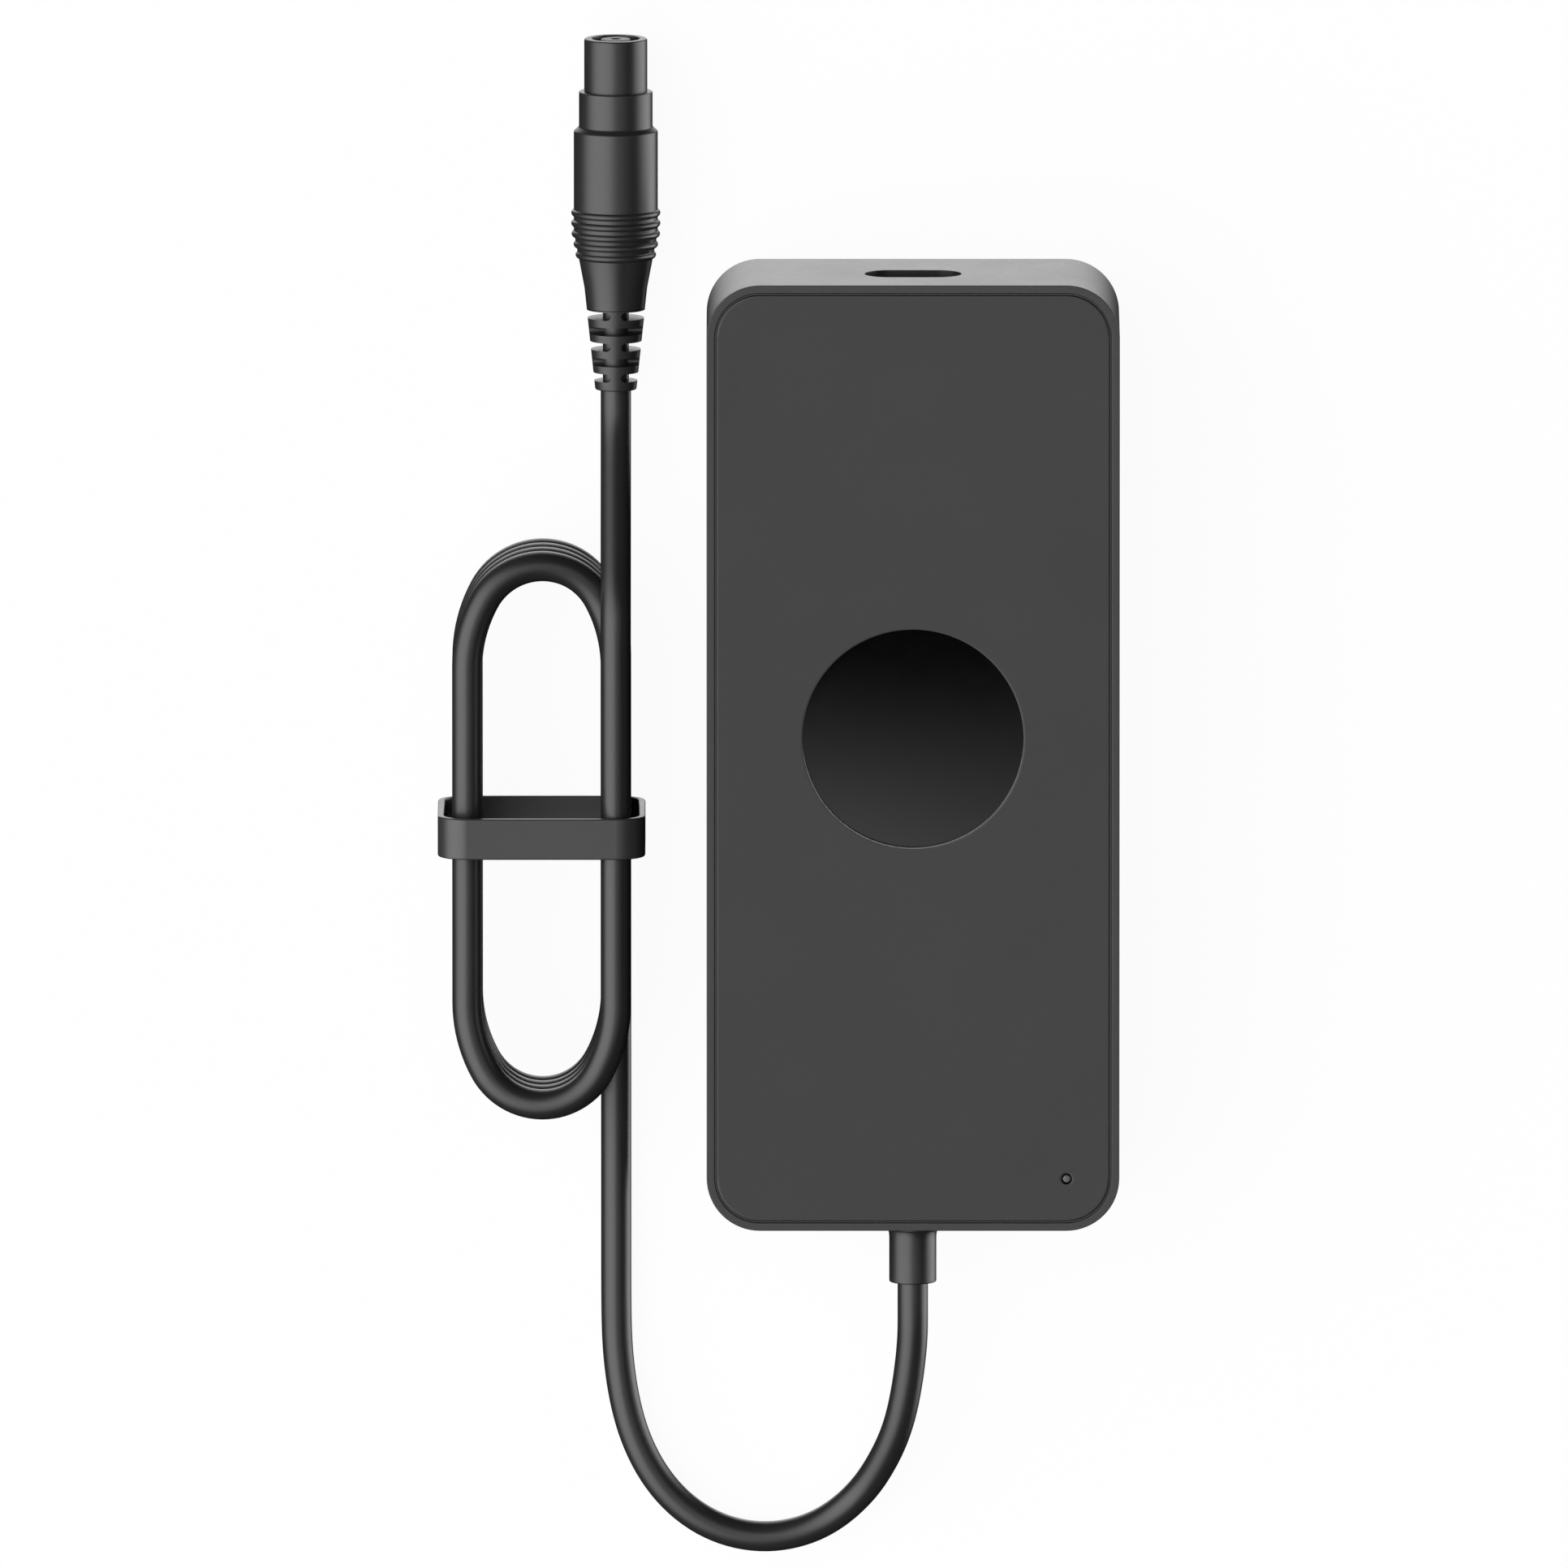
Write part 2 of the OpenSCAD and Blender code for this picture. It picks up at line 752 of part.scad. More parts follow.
module cord_tail() {
    color([0.16, 0.16, 0.17])
        swept_tube(smooth_route(tail_route, 1), cord_r, cord_sides);
}

// Rounded sleeve round both legs of the hank
module hank_band() {
    inner_h = hank_h + 2 * band_gap;
    outer_h = inner_h + 2 * band_wall;
    inner_w = leg_pitch + cord_d + 2 * band_side_gap;
    color([0.2, 0.2, 0.21])
        translate([hank_x, band_y + band_l / 2, outer_h / 2])
            rotate([90, 0, 0])
                linear_extrude(band_l)
                    difference() {
                        rounded_rect(inner_w + 2 * band_wall, outer_h, band_r);
                        rounded_rect(inner_w, inner_h, band_r - band_wall);
                    }
}

/* ---------- plug ---------- */

// Places what is made along +Z on the plug's axis, cord end first
module on_plug_axis() {
    translate([leg_x, plug_y, plug_z])
        rotate([-90, 0, 0])
            children();
}

module plug_nose() {
    floor_s = tip_s - bore_depth;
    edge = 0.3;
    profile = concat(
        [[0, nose_s], [nose_r, nose_s]],
        arc([nose_r - edge, tip_s - edge], edge, 0, 90, 3),
        [[nose_bore_r, tip_s], [nose_bore_r, tip_s - lip], [nose_bore_r + contact_t, tip_s - lip],
         [nose_bore_r + contact_t, floor_s], [0, floor_s]]);
    color([0.19, 0.19, 0.2])
        on_plug_axis()
            rotate_extrude()
                polygon(profile);
}

module plug_barrel_contact() {
    floor_s = tip_s - bore_depth;
    color([0.8, 0.8, 0.78])
        on_plug_axis()
            translate([0, 0, floor_s])
                rotate_extrude()
                    translate([nose_bore_r, 0])
                        square([contact_t, bore_depth - lip]);
}

module plug_core() {
    floor_s = tip_s - bore_depth;
    color([0.3, 0.3, 0.31])
        on_plug_axis()
            rotate_extrude()
                polygon([[0, floor_s], [core_r, floor_s], [core_r, tip_s - 0.3], [core_r - 0.2, tip_s - 0.1],
                         [core_hole_r, tip_s - 0.1], [core_hole_r, floor_s + 1], [0, floor_s + 1]]);
}

// Springy sleeve at the bottom of the core's hole
module plug_centre_contact() {
    floor_s = tip_s - bore_depth;
    color([0.8, 0.7, 0.4])
        on_plug_axis()
            translate([0, 0, floor_s + 1])
                rotate_extrude()
                    translate([core_hole_r - 0.2, 0])
                        square([0.2, 4]);
}

// Moulded grip: taper, sleeve, shoulder and collar, with beads round the taper's wide end
module plug_body() {
    soft = 0.8;
    profile = concat(
        [[0, boot_l], [taper_r, boot_l], [waist_r, waist_s]],
        [[sleeve_r - 0.12, sleeve_s - soft], [sleeve_r - 0.03, sleeve_s], [sleeve_r, sleeve_s + soft]],
        arc([sleeve_r - 0.6, shoulder_s], 0.6, 0, 50, 4),
        arc([collar_r + 0.5, collar_s], 0.5, 230, 180, 4),
        [[collar_r, nose_s - 0.2], [collar_r - 0.2, nose_s], [0, nose_s]]);
    color([0.19, 0.19, 0.2])
        on_plug_axis() {
            rotate_extrude()
                polygon(profile);
            for (i = [0:beads - 1]) {
                s = last_bead_s - i * bead_pitch;
                base = min(sleeve_r, waist_r + (sleeve_r - waist_r) * (s - waist_s) / (sleeve_s - waist_s));
                rotate_extrude()
                    translate([base - 0.16, s])
                        circle(bead_r);
            }
        }
}

// Strain relief: a cone cut by pairs of slots, each pair a quarter turn round from the last,
// so that every ring hangs on two webs and the boot bends but doesn't kink
module plug_boot() {
    edge = 0.25;
    first_slot = 2.1;
    reach = taper_r + 1;
    color([0.19, 0.19, 0.2])
        on_plug_axis() {
            difference() {
                rotate_extrude()
                    polygon([[0, 0], [boot_r - edge, 0], [boot_r, edge], [taper_r, boot_l], [0, boot_l]]);
                for (i = [0:slots - 1], side = [0, 180])
                    translate([0, 0, first_slot + i * slot_pitch])
                        rotate([90, 0, side + (i % 2) * 90])
                            linear_extrude(2 * reach, center = true) {
                                translate([web + slot_w / 2, 0])
                                    circle(slot_w / 2);
                                translate([web + slot_w / 2, -slot_w / 2])
                                    square([reach, slot_w]);
                            }
            }
            cylinder(r = boot_core_r, h = boot_l);
        }
}

case_tub();
front_cover();
badge_disc();
light_pipe();
inlet_housing();
inlet_pins();
insulating_sheet();
circuit_board();
board_screws();
fuse();
x_capacitor();
choke_core();
choke_windings();
bridge_rectifier();
bulk_capacitor();
primary_heatsink();
switching_transistor();
transformer_core();
transformer_winding();
y_capacitor();
controller_chip();
optocoupler();
secondary_heatsink();
output_rectifier();
output_capacitors();
output_choke();
indicator_led();
heat_spreader();
output_leads();
cable_gland();
cord_lead();
cord_hank();
cord_tail();
hank_band();
plug_nose();
plug_barrel_contact();
plug_core();
plug_centre_contact();
plug_body();
plug_boot();
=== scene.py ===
# %% [markdown]
# # A laptop power adapter, dressed
# The packed model gives us a fixed frame: every solid at its real size and place, but plain. In this
# lesson we build the visible skin of the adapter around it: the two-part case with its sunk disc, the
# hanked cord with its sliding band, and the plug with its beaded grip and slotted boot.
# The frame is in metres, and every piece goes where it says.

# %% The frame and its box
import json
import math

import bmesh
import bpy
from mathutils import Matrix, Vector


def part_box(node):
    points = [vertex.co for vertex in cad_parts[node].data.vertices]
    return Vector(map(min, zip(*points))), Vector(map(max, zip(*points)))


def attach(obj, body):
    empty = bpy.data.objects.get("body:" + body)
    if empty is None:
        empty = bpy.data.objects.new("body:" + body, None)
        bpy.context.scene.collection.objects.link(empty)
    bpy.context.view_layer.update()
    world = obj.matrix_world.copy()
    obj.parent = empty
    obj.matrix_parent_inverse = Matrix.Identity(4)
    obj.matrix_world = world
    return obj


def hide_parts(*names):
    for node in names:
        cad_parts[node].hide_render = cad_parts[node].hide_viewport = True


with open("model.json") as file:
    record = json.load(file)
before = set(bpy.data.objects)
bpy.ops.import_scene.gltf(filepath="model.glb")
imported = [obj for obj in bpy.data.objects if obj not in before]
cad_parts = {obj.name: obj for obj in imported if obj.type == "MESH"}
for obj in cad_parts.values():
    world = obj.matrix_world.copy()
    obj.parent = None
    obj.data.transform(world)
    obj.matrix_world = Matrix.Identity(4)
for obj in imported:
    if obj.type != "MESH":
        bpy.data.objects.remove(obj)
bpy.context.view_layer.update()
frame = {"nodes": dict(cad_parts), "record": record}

MM = 0.001
scene = bpy.context.scene


def add_object(name, data):
    """Puts a new object with some data into the scene."""
    made = bpy.data.objects.new(name, data)
    scene.collection.objects.link(made)
    return made


def add_mesh(name, bm):
    """Puts what a bmesh holds into the scene, and frees it."""
    mesh = bpy.data.meshes.new(name)
    bm.to_mesh(mesh)
    bm.free()
    return add_object(name, mesh)


# %% [markdown]
# ## The camera
# Product pictures of flat things are often taken from far away with a long lens, so that parallel edges
# stay parallel. We look down on the cover, tipped a little towards the mains inlet, so that the end face
# just shows. An orthographic camera would do it too, but a long lens keeps the trace of perspective that
# such pictures have. The farther it stands the flatter it draws, and past ten metres little is gained.

# %% Camera
TILT = math.radians(8.5)
VIEW_WIDTH = 247.04 * MM
CAMERA_DISTANCE = 11.0
MIDDLE = 15 * MM
SENSOR = 36.0
sight = Vector((0, math.sin(TILT), math.cos(TILT)))
upward = Vector((0, math.cos(TILT), -math.sin(TILT)))
AIM_ACROSS = -20.31 * MM
AIM_UP = -8.48 * MM
aim = Vector((AIM_ACROSS, 0, 0)) + upward * AIM_UP + sight * MIDDLE

camera_data = bpy.data.cameras.new("studio_camera")
camera_data.sensor_width = SENSOR
camera_data.lens = SENSOR * CAMERA_DISTANCE / VIEW_WIDTH
camera_data.clip_start = 0.1
camera_data.clip_end = 50
camera = add_object("studio_camera", camera_data)
camera.location = aim + sight * CAMERA_DISTANCE
camera.rotation_euler = (-TILT, 0, 0)
scene.camera = camera
print("lens", round(camera_data.lens), "mm")

# %% [markdown]
# ## Shader maths as sums
# A material's nodes are easier to read as a formula. This small class wraps a socket, so that
# `grain * 0.1 + 0.4` adds its two Math nodes by itself. Every other node comes from one method, `node`,
# which takes the node's type, its settings and the values of its sockets.

# %% Value and Finish
class Value:
    """A number that comes out of a socket and can be used in a sum."""

    def __init__(self, finish, socket):
        self.finish = finish
        self.socket = socket

    def combine(self, operation, first, second):
        return self.finish.node("ShaderNodeMath", {"operation": operation}, {0: first, 1: second})

    def __add__(self, other):
        return self.combine("ADD", self, other)

    def __mul__(self, other):
        return self.combine("MULTIPLY", self, other)

    def __rsub__(self, other):
        return self.combine("SUBTRACT", other, self)

    def __sub__(self, other):
        return self.combine("SUBTRACT", self, other)

    def __pow__(self, other):
        return self.combine("POWER", self, other)

    def __neg__(self):
        return self * -1.0

    def __abs__(self):
        return self.combine("ABSOLUTE", self, 0.0)

    __radd__ = __add__
    __rmul__ = __mul__


class Finish:
    """The node tree of one material or world."""

    def __init__(self, name, owner=None):
        self.owner = owner or bpy.data.materials.new(name)
        self.owner.use_nodes = True
        self.tree = self.owner.node_tree
        self.tree.nodes.clear()

    def node(self, kind, settings=None, sockets=None, output=0):
        """Adds one node, sets it up, and gives the value that comes out of it."""
        made = self.tree.nodes.new(kind)
        for name, setting in (settings or {}).items():
            setattr(made, name, setting)
        for name, given in (sockets or {}).items():
            if isinstance(given, Value):
                self.tree.links.new(given.socket, made.inputs[name])
            else:
                made.inputs[name].default_value = given
        if output is None:
            return {socket.name: Value(self, socket) for socket in made.outputs}
        return Value(self, made.outputs[output]) if made.outputs else made

    def place(self):
        """The point of the piece that is being shaded, in metres."""
        return self.node("ShaderNodeTexCoord", output="Object")

    def axes(self):
        """The same point as three numbers, named X, Y and Z."""
        return self.node("ShaderNodeSeparateXYZ", {}, {0: self.place()}, output=None)

    def noise(self, size, detail=2.0, stretch=(1, 1, 1)):
        """Soft random values round 0, with spots of about that size in metres."""
        place = self.node("ShaderNodeMapping", {}, {"Vector": self.place(), "Scale": stretch})
        found = self.node("ShaderNodeTexNoise", {}, {"Vector": place, "Scale": 1 / size, "Detail": detail})
        return found - 0.5

    def blend_colours(self, share, first, second):
        """The first colour where share is 0, and the second where it is 1."""
        return self.node("ShaderNodeMix", {"data_type": "RGBA"}, {0: share, 6: first, 7: second}, output=2)

    def ramp(self, value, start, end, low=0.0, high=1.0):
        """Goes evenly from low to high as a value goes from start to end."""
        return self.node("ShaderNodeMapRange", {}, {0: value, 1: start, 2: end, 3: low, 4: high})

    def bump(self, height, depth):
        """A surface that rises and falls with height, by up to that depth in metres."""
        return self.node("ShaderNodeBump", {}, {"Height": height, "Distance": depth, "Strength": 1.0})

    def show(self, shader):
        """Ends the tree with a shader, and gives the material or world that it belongs to."""
        target = "World" if isinstance(self.owner, bpy.types.World) else "Material"
        self.node("ShaderNodeOutput" + target, {}, {"Surface": shader})
        return self.owner

    def surface(self, colour, roughness, relief, metallic=0.0):
        """Shows plastic or metal, with its relief given as a bump."""
        return self.show(self.node("ShaderNodeBsdfPrincipled", {}, {
            "Base Color": colour, "Roughness": roughness, "Normal": relief, "Metallic": metallic}))


print("a finish can make", [name for name in vars(Finish) if not name.startswith("_")])

# %% [markdown]
# ## Moulded plastic
# The case, the band and the plug are black moulded plastic, which is never quite one colour. A tool with
# a fine spark-eroded texture gives it grain, and the melt leaves faint clouds where it flowed and cooled.
# Flat paint would miss both. So one function makes the grain as bump, and the clouds as small changes of
# colour and roughness. Each piece then asks for its own grey, gloss and grain.

# %% Moulded plastics
COOL = (1, 1, 1.01)


def grey_colour(grey, tint=(1, 1, 1)):
    """A grey, or a tinted grey, as a colour with full opacity."""
    return [grey * part for part in tint] + [1]


def moulded(name, grey, roughness, grain=0.22 * MM, depth=0.006 * MM, clouds=0.06,
            wall=None, painted_shading_grey=0.9):
    """Satin moulded plastic of one grey, with grain and faint clouds. One wall may get a grey of its own
    that paints light or shade on it.
    """
    paint = Finish(name)
    cloud = paint.noise(18 * MM, 3.0)
    fleck = paint.noise(1.1 * MM, 2.0)
    darker = grey_colour(grey * (1 - clouds), COOL)
    paler = grey_colour(grey * (1 + clouds), COOL)
    colour = paint.blend_colours(cloud * 1.6 + fleck * 0.5 + 0.5, darker, paler)
    # Painted light and shade: a mask blends one wall's colour to a fixed grey, which is pale for a painted
    # highlight and dark for a painted shade.
    if wall:
        colour = paint.blend_colours(wall(paint), colour, grey_colour(painted_shading_grey))
    gloss = cloud * 0.10 + fleck * 0.06 + roughness
    relief = paint.bump(paint.noise(grain, 3.0), depth)
    return paint.surface(colour, gloss, relief)


satin_case = moulded("satin_case", 0.016, 0.34)
band_rubber = moulded("band_rubber", 0.028, 0.34, grain=0.3 * MM)
gland_rubber = moulded("gland_rubber", 0.016, 0.33)
satin_plug = moulded("satin_plug", 0.016, 0.33)
boot_rubber = moulded("boot_rubber", 0.016, 0.35, grain=0.3 * MM)
inlet_nylon = moulded("inlet_nylon", 0.008, 0.40, depth=0.004 * MM)
for made in (satin_case, band_rubber, gland_rubber, satin_plug, boot_rubber, inlet_nylon):
    print("moulded", made.name)

# %% [markdown]
# ## The cord's jacket
# An extruded PVC jacket is smoother than a moulded part, and its die leaves very faint lines along it.
# The cord turns every way, so its pattern can't be stretched along one axis of the room. We keep soft
# clouds and a fine orange peel, which look the same whichever way the cord runs.

# %% Jacket
def jacket(name, grey, roughness):
    """Extruded PVC: an even black with a fine orange peel."""
    paint = Finish(name)
    cloud = paint.noise(9 * MM, 2.0)
    peel = paint.noise(0.5 * MM, 2.0)
    colour = paint.blend_colours(cloud * 1.5 + 0.5, grey_colour(grey * 0.94), grey_colour(grey * 1.06))
    return paint.surface(colour, cloud * 0.08 + roughness, paint.bump(peel, 0.008 * MM))


pvc_jacket = jacket("pvc_jacket", 0.016, 0.33)
print("the cord wears", pvc_jacket.name)

# %% [markdown]
# ## The polished disc
# The disc in the cover is a separate piece with a polished face. It is black, and what shows on it is
# the studio above it. A very low roughness does that, and a wave of two thousandths of a millimetre
# keeps the reflection from looking drawn with a ruler.

# %% Polished black
def polished(name, grey, roughness):
    """Gloss black, with a slight wave and a trace of haze."""
    paint = Finish(name)
    haze = paint.noise(3 * MM, 2.0)
    wave = paint.noise(9 * MM, 1.0)
    colour = paint.blend_colours(haze + 0.5, grey_colour(grey * 0.8), grey_colour(grey * 1.2))
    return paint.surface(colour, haze * 0.03 + roughness, paint.bump(wave, 0.002 * MM))


polished_black = polished("polished_black", 0.002, 0.06)
print("the disc wears", polished_black.name)

# %% [markdown]
# ## Metal and the light pipe
# The inlet's pins are drawn brass with a thin nickel plate, so fine lines run along them. The plug's
# contacts are bare brass, with another tint and a little less gloss. The light pipe is frosted acrylic:
# unlit, it is a dim and slightly cloudy grey.

# %% Metal and acrylic
def drawn_metal(name, tint, roughness):
    """Metal with fine lines along Y, the way that it was drawn."""
    paint = Finish(name)
    lines = paint.noise(0.12 * MM, 2.0, stretch=(1, 0.03, 1))
    tarnish = paint.noise(1.5 * MM, 3.0)
    colour = paint.blend_colours(tarnish + 0.5, grey_colour(0.86, tint), grey_colour(1, tint))
    gloss = lines * 0.12 + tarnish * 0.1 + roughness
    return paint.surface(colour, gloss, paint.bump(lines, 0.003 * MM), metallic=1.0)


pin_nickel = drawn_metal("pin_nickel", (0.72, 0.70, 0.66), 0.22)
contact_brass = drawn_metal("contact_brass", (0.70, 0.62, 0.42), 0.28)
frosted_acrylic = moulded("frosted_acrylic", 0.07, 0.30, grain=0.1 * MM, clouds=0.12)
print("metal and acrylic:", [made.name for made in (pin_nickel, contact_brass, frosted_acrylic)])

# %% [markdown]
# ## Small shape helpers
# Nearly every part of an adapter is one of two forms. Turned forms, such as the plug, come from spinning
# an outline about an axis. Case parts are outlines stepped round a rounded rectangle, so we make one loop
# of edges for each step and bridge each loop to the next. Both start from few points and let bmesh's own
# operators do the work. Everything is drawn in millimetres and becomes metres at the end.

# %% Outlines
CORNER_STEPS = 16
HAIR = Vector((0, 0.01, 0.01))
QUARTER_TURN = Matrix.Rotation(math.radians(90), 3, "X")


def arc(centre, radius, start, end, steps):
    """Points along an arc, with its angles in degrees."""
    turns = [math.radians(start + (end - start) * step / steps) for step in range(steps + 1)]
    return [(centre[0] + radius * math.cos(turn), centre[1] + radius * math.sin(turn)) for turn in turns]


def rounded_loop(bm, width, length, radius, height):
    """A flat loop of edges in the form of a rounded rectangle."""
    before = set(bm.faces)
    corners = bmesh.ops.create_grid(bm, x_segments=1, y_segments=1, size=0.5)["verts"]
    bmesh.ops.scale(bm, vec=(width, length, 1), verts=corners)
    bmesh.ops.translate(bm, vec=(0, 0, height), verts=corners)
    bmesh.ops.bevel(bm, geom=corners, offset=radius, offset_type="OFFSET", segments=CORNER_STEPS,
                    profile=0.5, affect="VERTICES", material=-1)
    face = (set(bm.faces) - before).pop()
    edges = list(face.edges)
    bmesh.ops.delete(bm, geom=[face], context="FACES_ONLY")
    return edges


def round_loop(bm, radius, height, steps, centre=(0, 0)):
    """A flat circle of edges."""
    made = bmesh.ops.create_circle(bm, cap_ends=False, radius=radius, segments=steps)["verts"]
    bmesh.ops.translate(bm, vec=(centre[0], centre[1], height), verts=made)
    return list({edge for vert in made for edge in vert.link_edges})


def bridged(bm, loops, closed=False):
    """Joins each loop to the next, which is lifted a hair meanwhile, so that no two lie in one plane."""
    followers = loops[1:] + loops[:1] if closed else loops[1:]
    for first, second in zip(loops, followers):
        lifted = list({vert for edge in second for vert in edge.verts})
        bmesh.ops.translate(bm, vec=HAIR, verts=lifted)
        bmesh.ops.bridge_loops(bm, edges=first + second)
        bmesh.ops.translate(bm, vec=-HAIR, verts=lifted)
    return loops


def stepped(bm, width, length, radius, profile, closed=False):
    """Loops round a rounded rectangle: profile gives each loop's distance inwards and its height."""
    loops = [rounded_loop(bm, width - 2 * inward, length - 2 * inward, radius - inward, height)
             for inward, height in profile]
    return bridged(bm, loops, closed)


def cap(bm, loops):
    """Fills flat loops with faces; a loop inside another stays open as a hole."""
    edges = [edge for loop in loops for edge in loop]
    return bmesh.ops.triangle_fill(bm, use_beauty=True, use_dissolve=False, normal=(0, 0, 1), edges=edges)


def turned(bm, outline, steps=96):
    """Spins an outline of (radius, height) points once round Z."""
    verts = [bm.verts.new((radius, 0, height)) for radius, height in outline]
    edges = [bm.edges.new(pair) for pair in zip(verts, verts[1:])]
    bmesh.ops.spin(bm, geom=verts + edges, cent=(0, 0, 0), axis=(0, 0, 1), angle=2 * math.pi,
                   steps=steps, use_merge=True)
    bmesh.ops.remove_doubles(bm, verts=bm.verts, dist=1e-4)


# %% [markdown]
# ## From a mesh to a piece
# A finished piece needs its faces pointing outwards, a material, smooth shading that stops at real
# corners, and a body to ride on. Small rounded edges only look right if the big flat
# faces stay flat. An extra loop of faces would hold them, and a Weighted Normal modifier does it with
# no more faces: the larger a face is, the more it counts in how the points round it are shaded.

# %% Piece
CREASE = 35


def piece(name, bm, finish, nodes, body="adapter"):
    """Turns a bmesh into a named piece that rides on a body and stands for some nodes."""
    bmesh.ops.recalc_face_normals(bm, faces=bm.faces)
    if bm.calc_volume(signed=True) < 0:
        bmesh.ops.reverse_faces(bm, faces=bm.faces)
    bmesh.ops.scale(bm, vec=(MM, MM, MM), verts=bm.verts)
    made = add_mesh(name, bm)
    mesh = made.data
    mesh.materials.append(finish)
    mesh.shade_smooth()
    mesh.set_sharp_from_angle(angle=math.radians(CREASE))
    weighted = made.modifiers.new("flat_faces_stay_flat", "WEIGHTED_NORMAL")
    weighted.mode = "FACE_AREA"
    weighted.keep_sharp = True
    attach(made, body)
    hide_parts(*nodes)
    print(name, len(mesh.polygons), "faces")
    return made


# %% [markdown]
# ## The cord's line
# A cord is a fixed length of something flexible, so its line comes first. From the gland it runs
# straight, sinks to the table in one wide bend, and goes under the hank's end, where its lowest turn
# begins. The free stretches are steered by a few points, and a uniform cubic B-spline makes them smooth:
# each point pulls the curve towards itself, and the curve never kinks.

# %% Free stretches
CORD_RADIUS = 2.4
gland_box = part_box("cable_gland")
case_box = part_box("case_tub")
plug_boot_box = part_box("plug_boot")
GLAND_Z = (gland_box[0].z + gland_box[1].z) / 2 / MM
GLAND_END = gland_box[0].y / MM
LEG_X = (plug_boot_box[0].x + plug_boot_box[1].x) / 2 / MM
PLUG_Y = plug_boot_box[0].y / MM
PLUG_Z = (plug_boot_box[0].z + plug_boot_box[1].z) / 2 / MM
LEG_PITCH = 23.4
HANK_Y = -13.8
LEG_LENGTH = 53
ARCH_HEIGHT = 16.2
FOLD_RADIUS = 10.2
TURN_RISE = 4.6
TURNS = 4
FIRST_TURN_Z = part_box("cord_hank")[0].z / MM + CORD_RADIUS
LAST_TURN_Z = FIRST_TURN_Z + TURNS * TURN_RISE

lead_route = [
    (0, GLAND_END, GLAND_Z), (0, GLAND_END - 5.4, GLAND_Z), (0, GLAND_END - 10.8, 14.3),
    (-1.7, -108.8, 11), (-5, -116.3, 7), (-8.2, -121.5, 3.8), (-14.2, -126.8, 2.4), (-22.9, -129.1, 2.4),
    (-32.2, -127.1, 2.4), (-39.9, -120.8, 2.4), (-44.7, -111.4, 2.4), (-46.5, -100.9, 2.4),
    (LEG_X, -93.5, 2.4), (LEG_X, -84, 2.4), (LEG_X, -75, 2.4), (LEG_X, -66, 2.7),
    (LEG_X, -57, 3.5), (LEG_X, -47.5, FIRST_TURN_Z), (LEG_X, -38, FIRST_TURN_Z)]
tail_route = [
    (LEG_X, 5.2, LAST_TURN_Z), (LEG_X, 11, LAST_TURN_Z), (LEG_X, 16.9, LAST_TURN_Z),
    (LEG_X, 22.2, LAST_TURN_Z), (LEG_X, 27.8, 19.3), (LEG_X, 33.5, 16.2), (LEG_X, 39.2, 13.1),
    (LEG_X, 44.6, 10.1), (LEG_X, 49.2, 7.8), (LEG_X, 52.6, PLUG_Z), (LEG_X, PLUG_Y, PLUG_Z)]


def smooth_route(route, steps=8):
    """Points along the B-spline that a route steers, from its first point to its last."""
    points = [Vector(point) for point in route]
    points = [2 * points[0] - points[1], *points, 2 * points[-1] - points[-2]]
    found = []
    for a, b, c, d in zip(points, points[1:], points[2:], points[3:]):
        for step in range(steps):
            t = step / steps
            found.append(((1 - t) ** 3 * a + (3 * t ** 3 - 6 * t ** 2 + 4) * b
                          + (-3 * t ** 3 + 3 * t ** 2 + 3 * t + 1) * c + t ** 3 * d) / 6)
    return found + [Vector(route[-1])]


print("the lead is steered by", len(lead_route), "points, the tail by", len(tail_route))


# %% [markdown]
# ## The hank
# The rest of the cord is wound by hand into long loops that lie on each other. Each loop has two
# straight legs and two rounded ends. A rounded end has a wide flank and a tighter fold, because a cord
# that is pressed together at the legs swells out beyond them. In each end the cord climbs about half
# its diameter, so four turns are one loop over half turns, and not a list of points.

# %% Wound turns
fold_in = LEG_PITCH / 2 - FOLD_RADIUS
fold_up = ARCH_HEIGHT - FOLD_RADIUS
FLANK_RADIUS = ((LEG_PITCH / 2) ** 2 + fold_up ** 2 - FOLD_RADIUS ** 2) / (2 * fold_in)
FLANK_TURN = math.degrees(math.atan2(fold_up, FLANK_RADIUS - LEG_PITCH / 2))


def rounded_end():
    """The end of a hank, over the origin, from the right leg round to the left one."""
    flank = arc((LEG_PITCH / 2 - FLANK_RADIUS, 0), FLANK_RADIUS, 0, FLANK_TURN, 10)
    fold = arc((0, fold_up), FOLD_RADIUS, FLANK_TURN, 90, 14)
    half = flank + fold[1:]
    return half + [(-x, y) for x, y in reversed(half[:-1])]


def wound_turns():
    """The line of the wound cord, from the lowest right leg up to the highest."""
    middle = LEG_X - LEG_PITCH / 2
    end = rounded_end()
    found = []
    for half_turn in range(2 * TURNS):
        side = 1 if half_turn % 2 == 0 else -1
        low = FIRST_TURN_Z + half_turn * TURN_RISE / 2
        for index, (x, y) in enumerate(end):
            share = index / (len(end) - 1)
            climb = TURN_RISE / 2 * share * share * (3 - 2 * share)
            found.append(Vector((middle + side * x, HANK_Y + side * (LEG_LENGTH / 2 + y), low + climb)))
    return found


def spread(points, gap):
    """Adds points along straight stretches, so that none is longer than a gap."""
    found = [points[0]]
    for first, second in zip(points, points[1:]):
        parts = max(1, math.ceil((second - first).length / gap))
        found += [first.lerp(second, part / parts) for part in range(1, parts + 1)]
    return found


print(TURNS, "turns with flanks of", round(FLANK_RADIUS, 1), "mm and folds of", FOLD_RADIUS, "mm")


# %% [markdown] ## The cord itself The three stretches are one cord, so they are one spline with a round
# bevel, and its ends are tucked a little way into the gland and the boot.

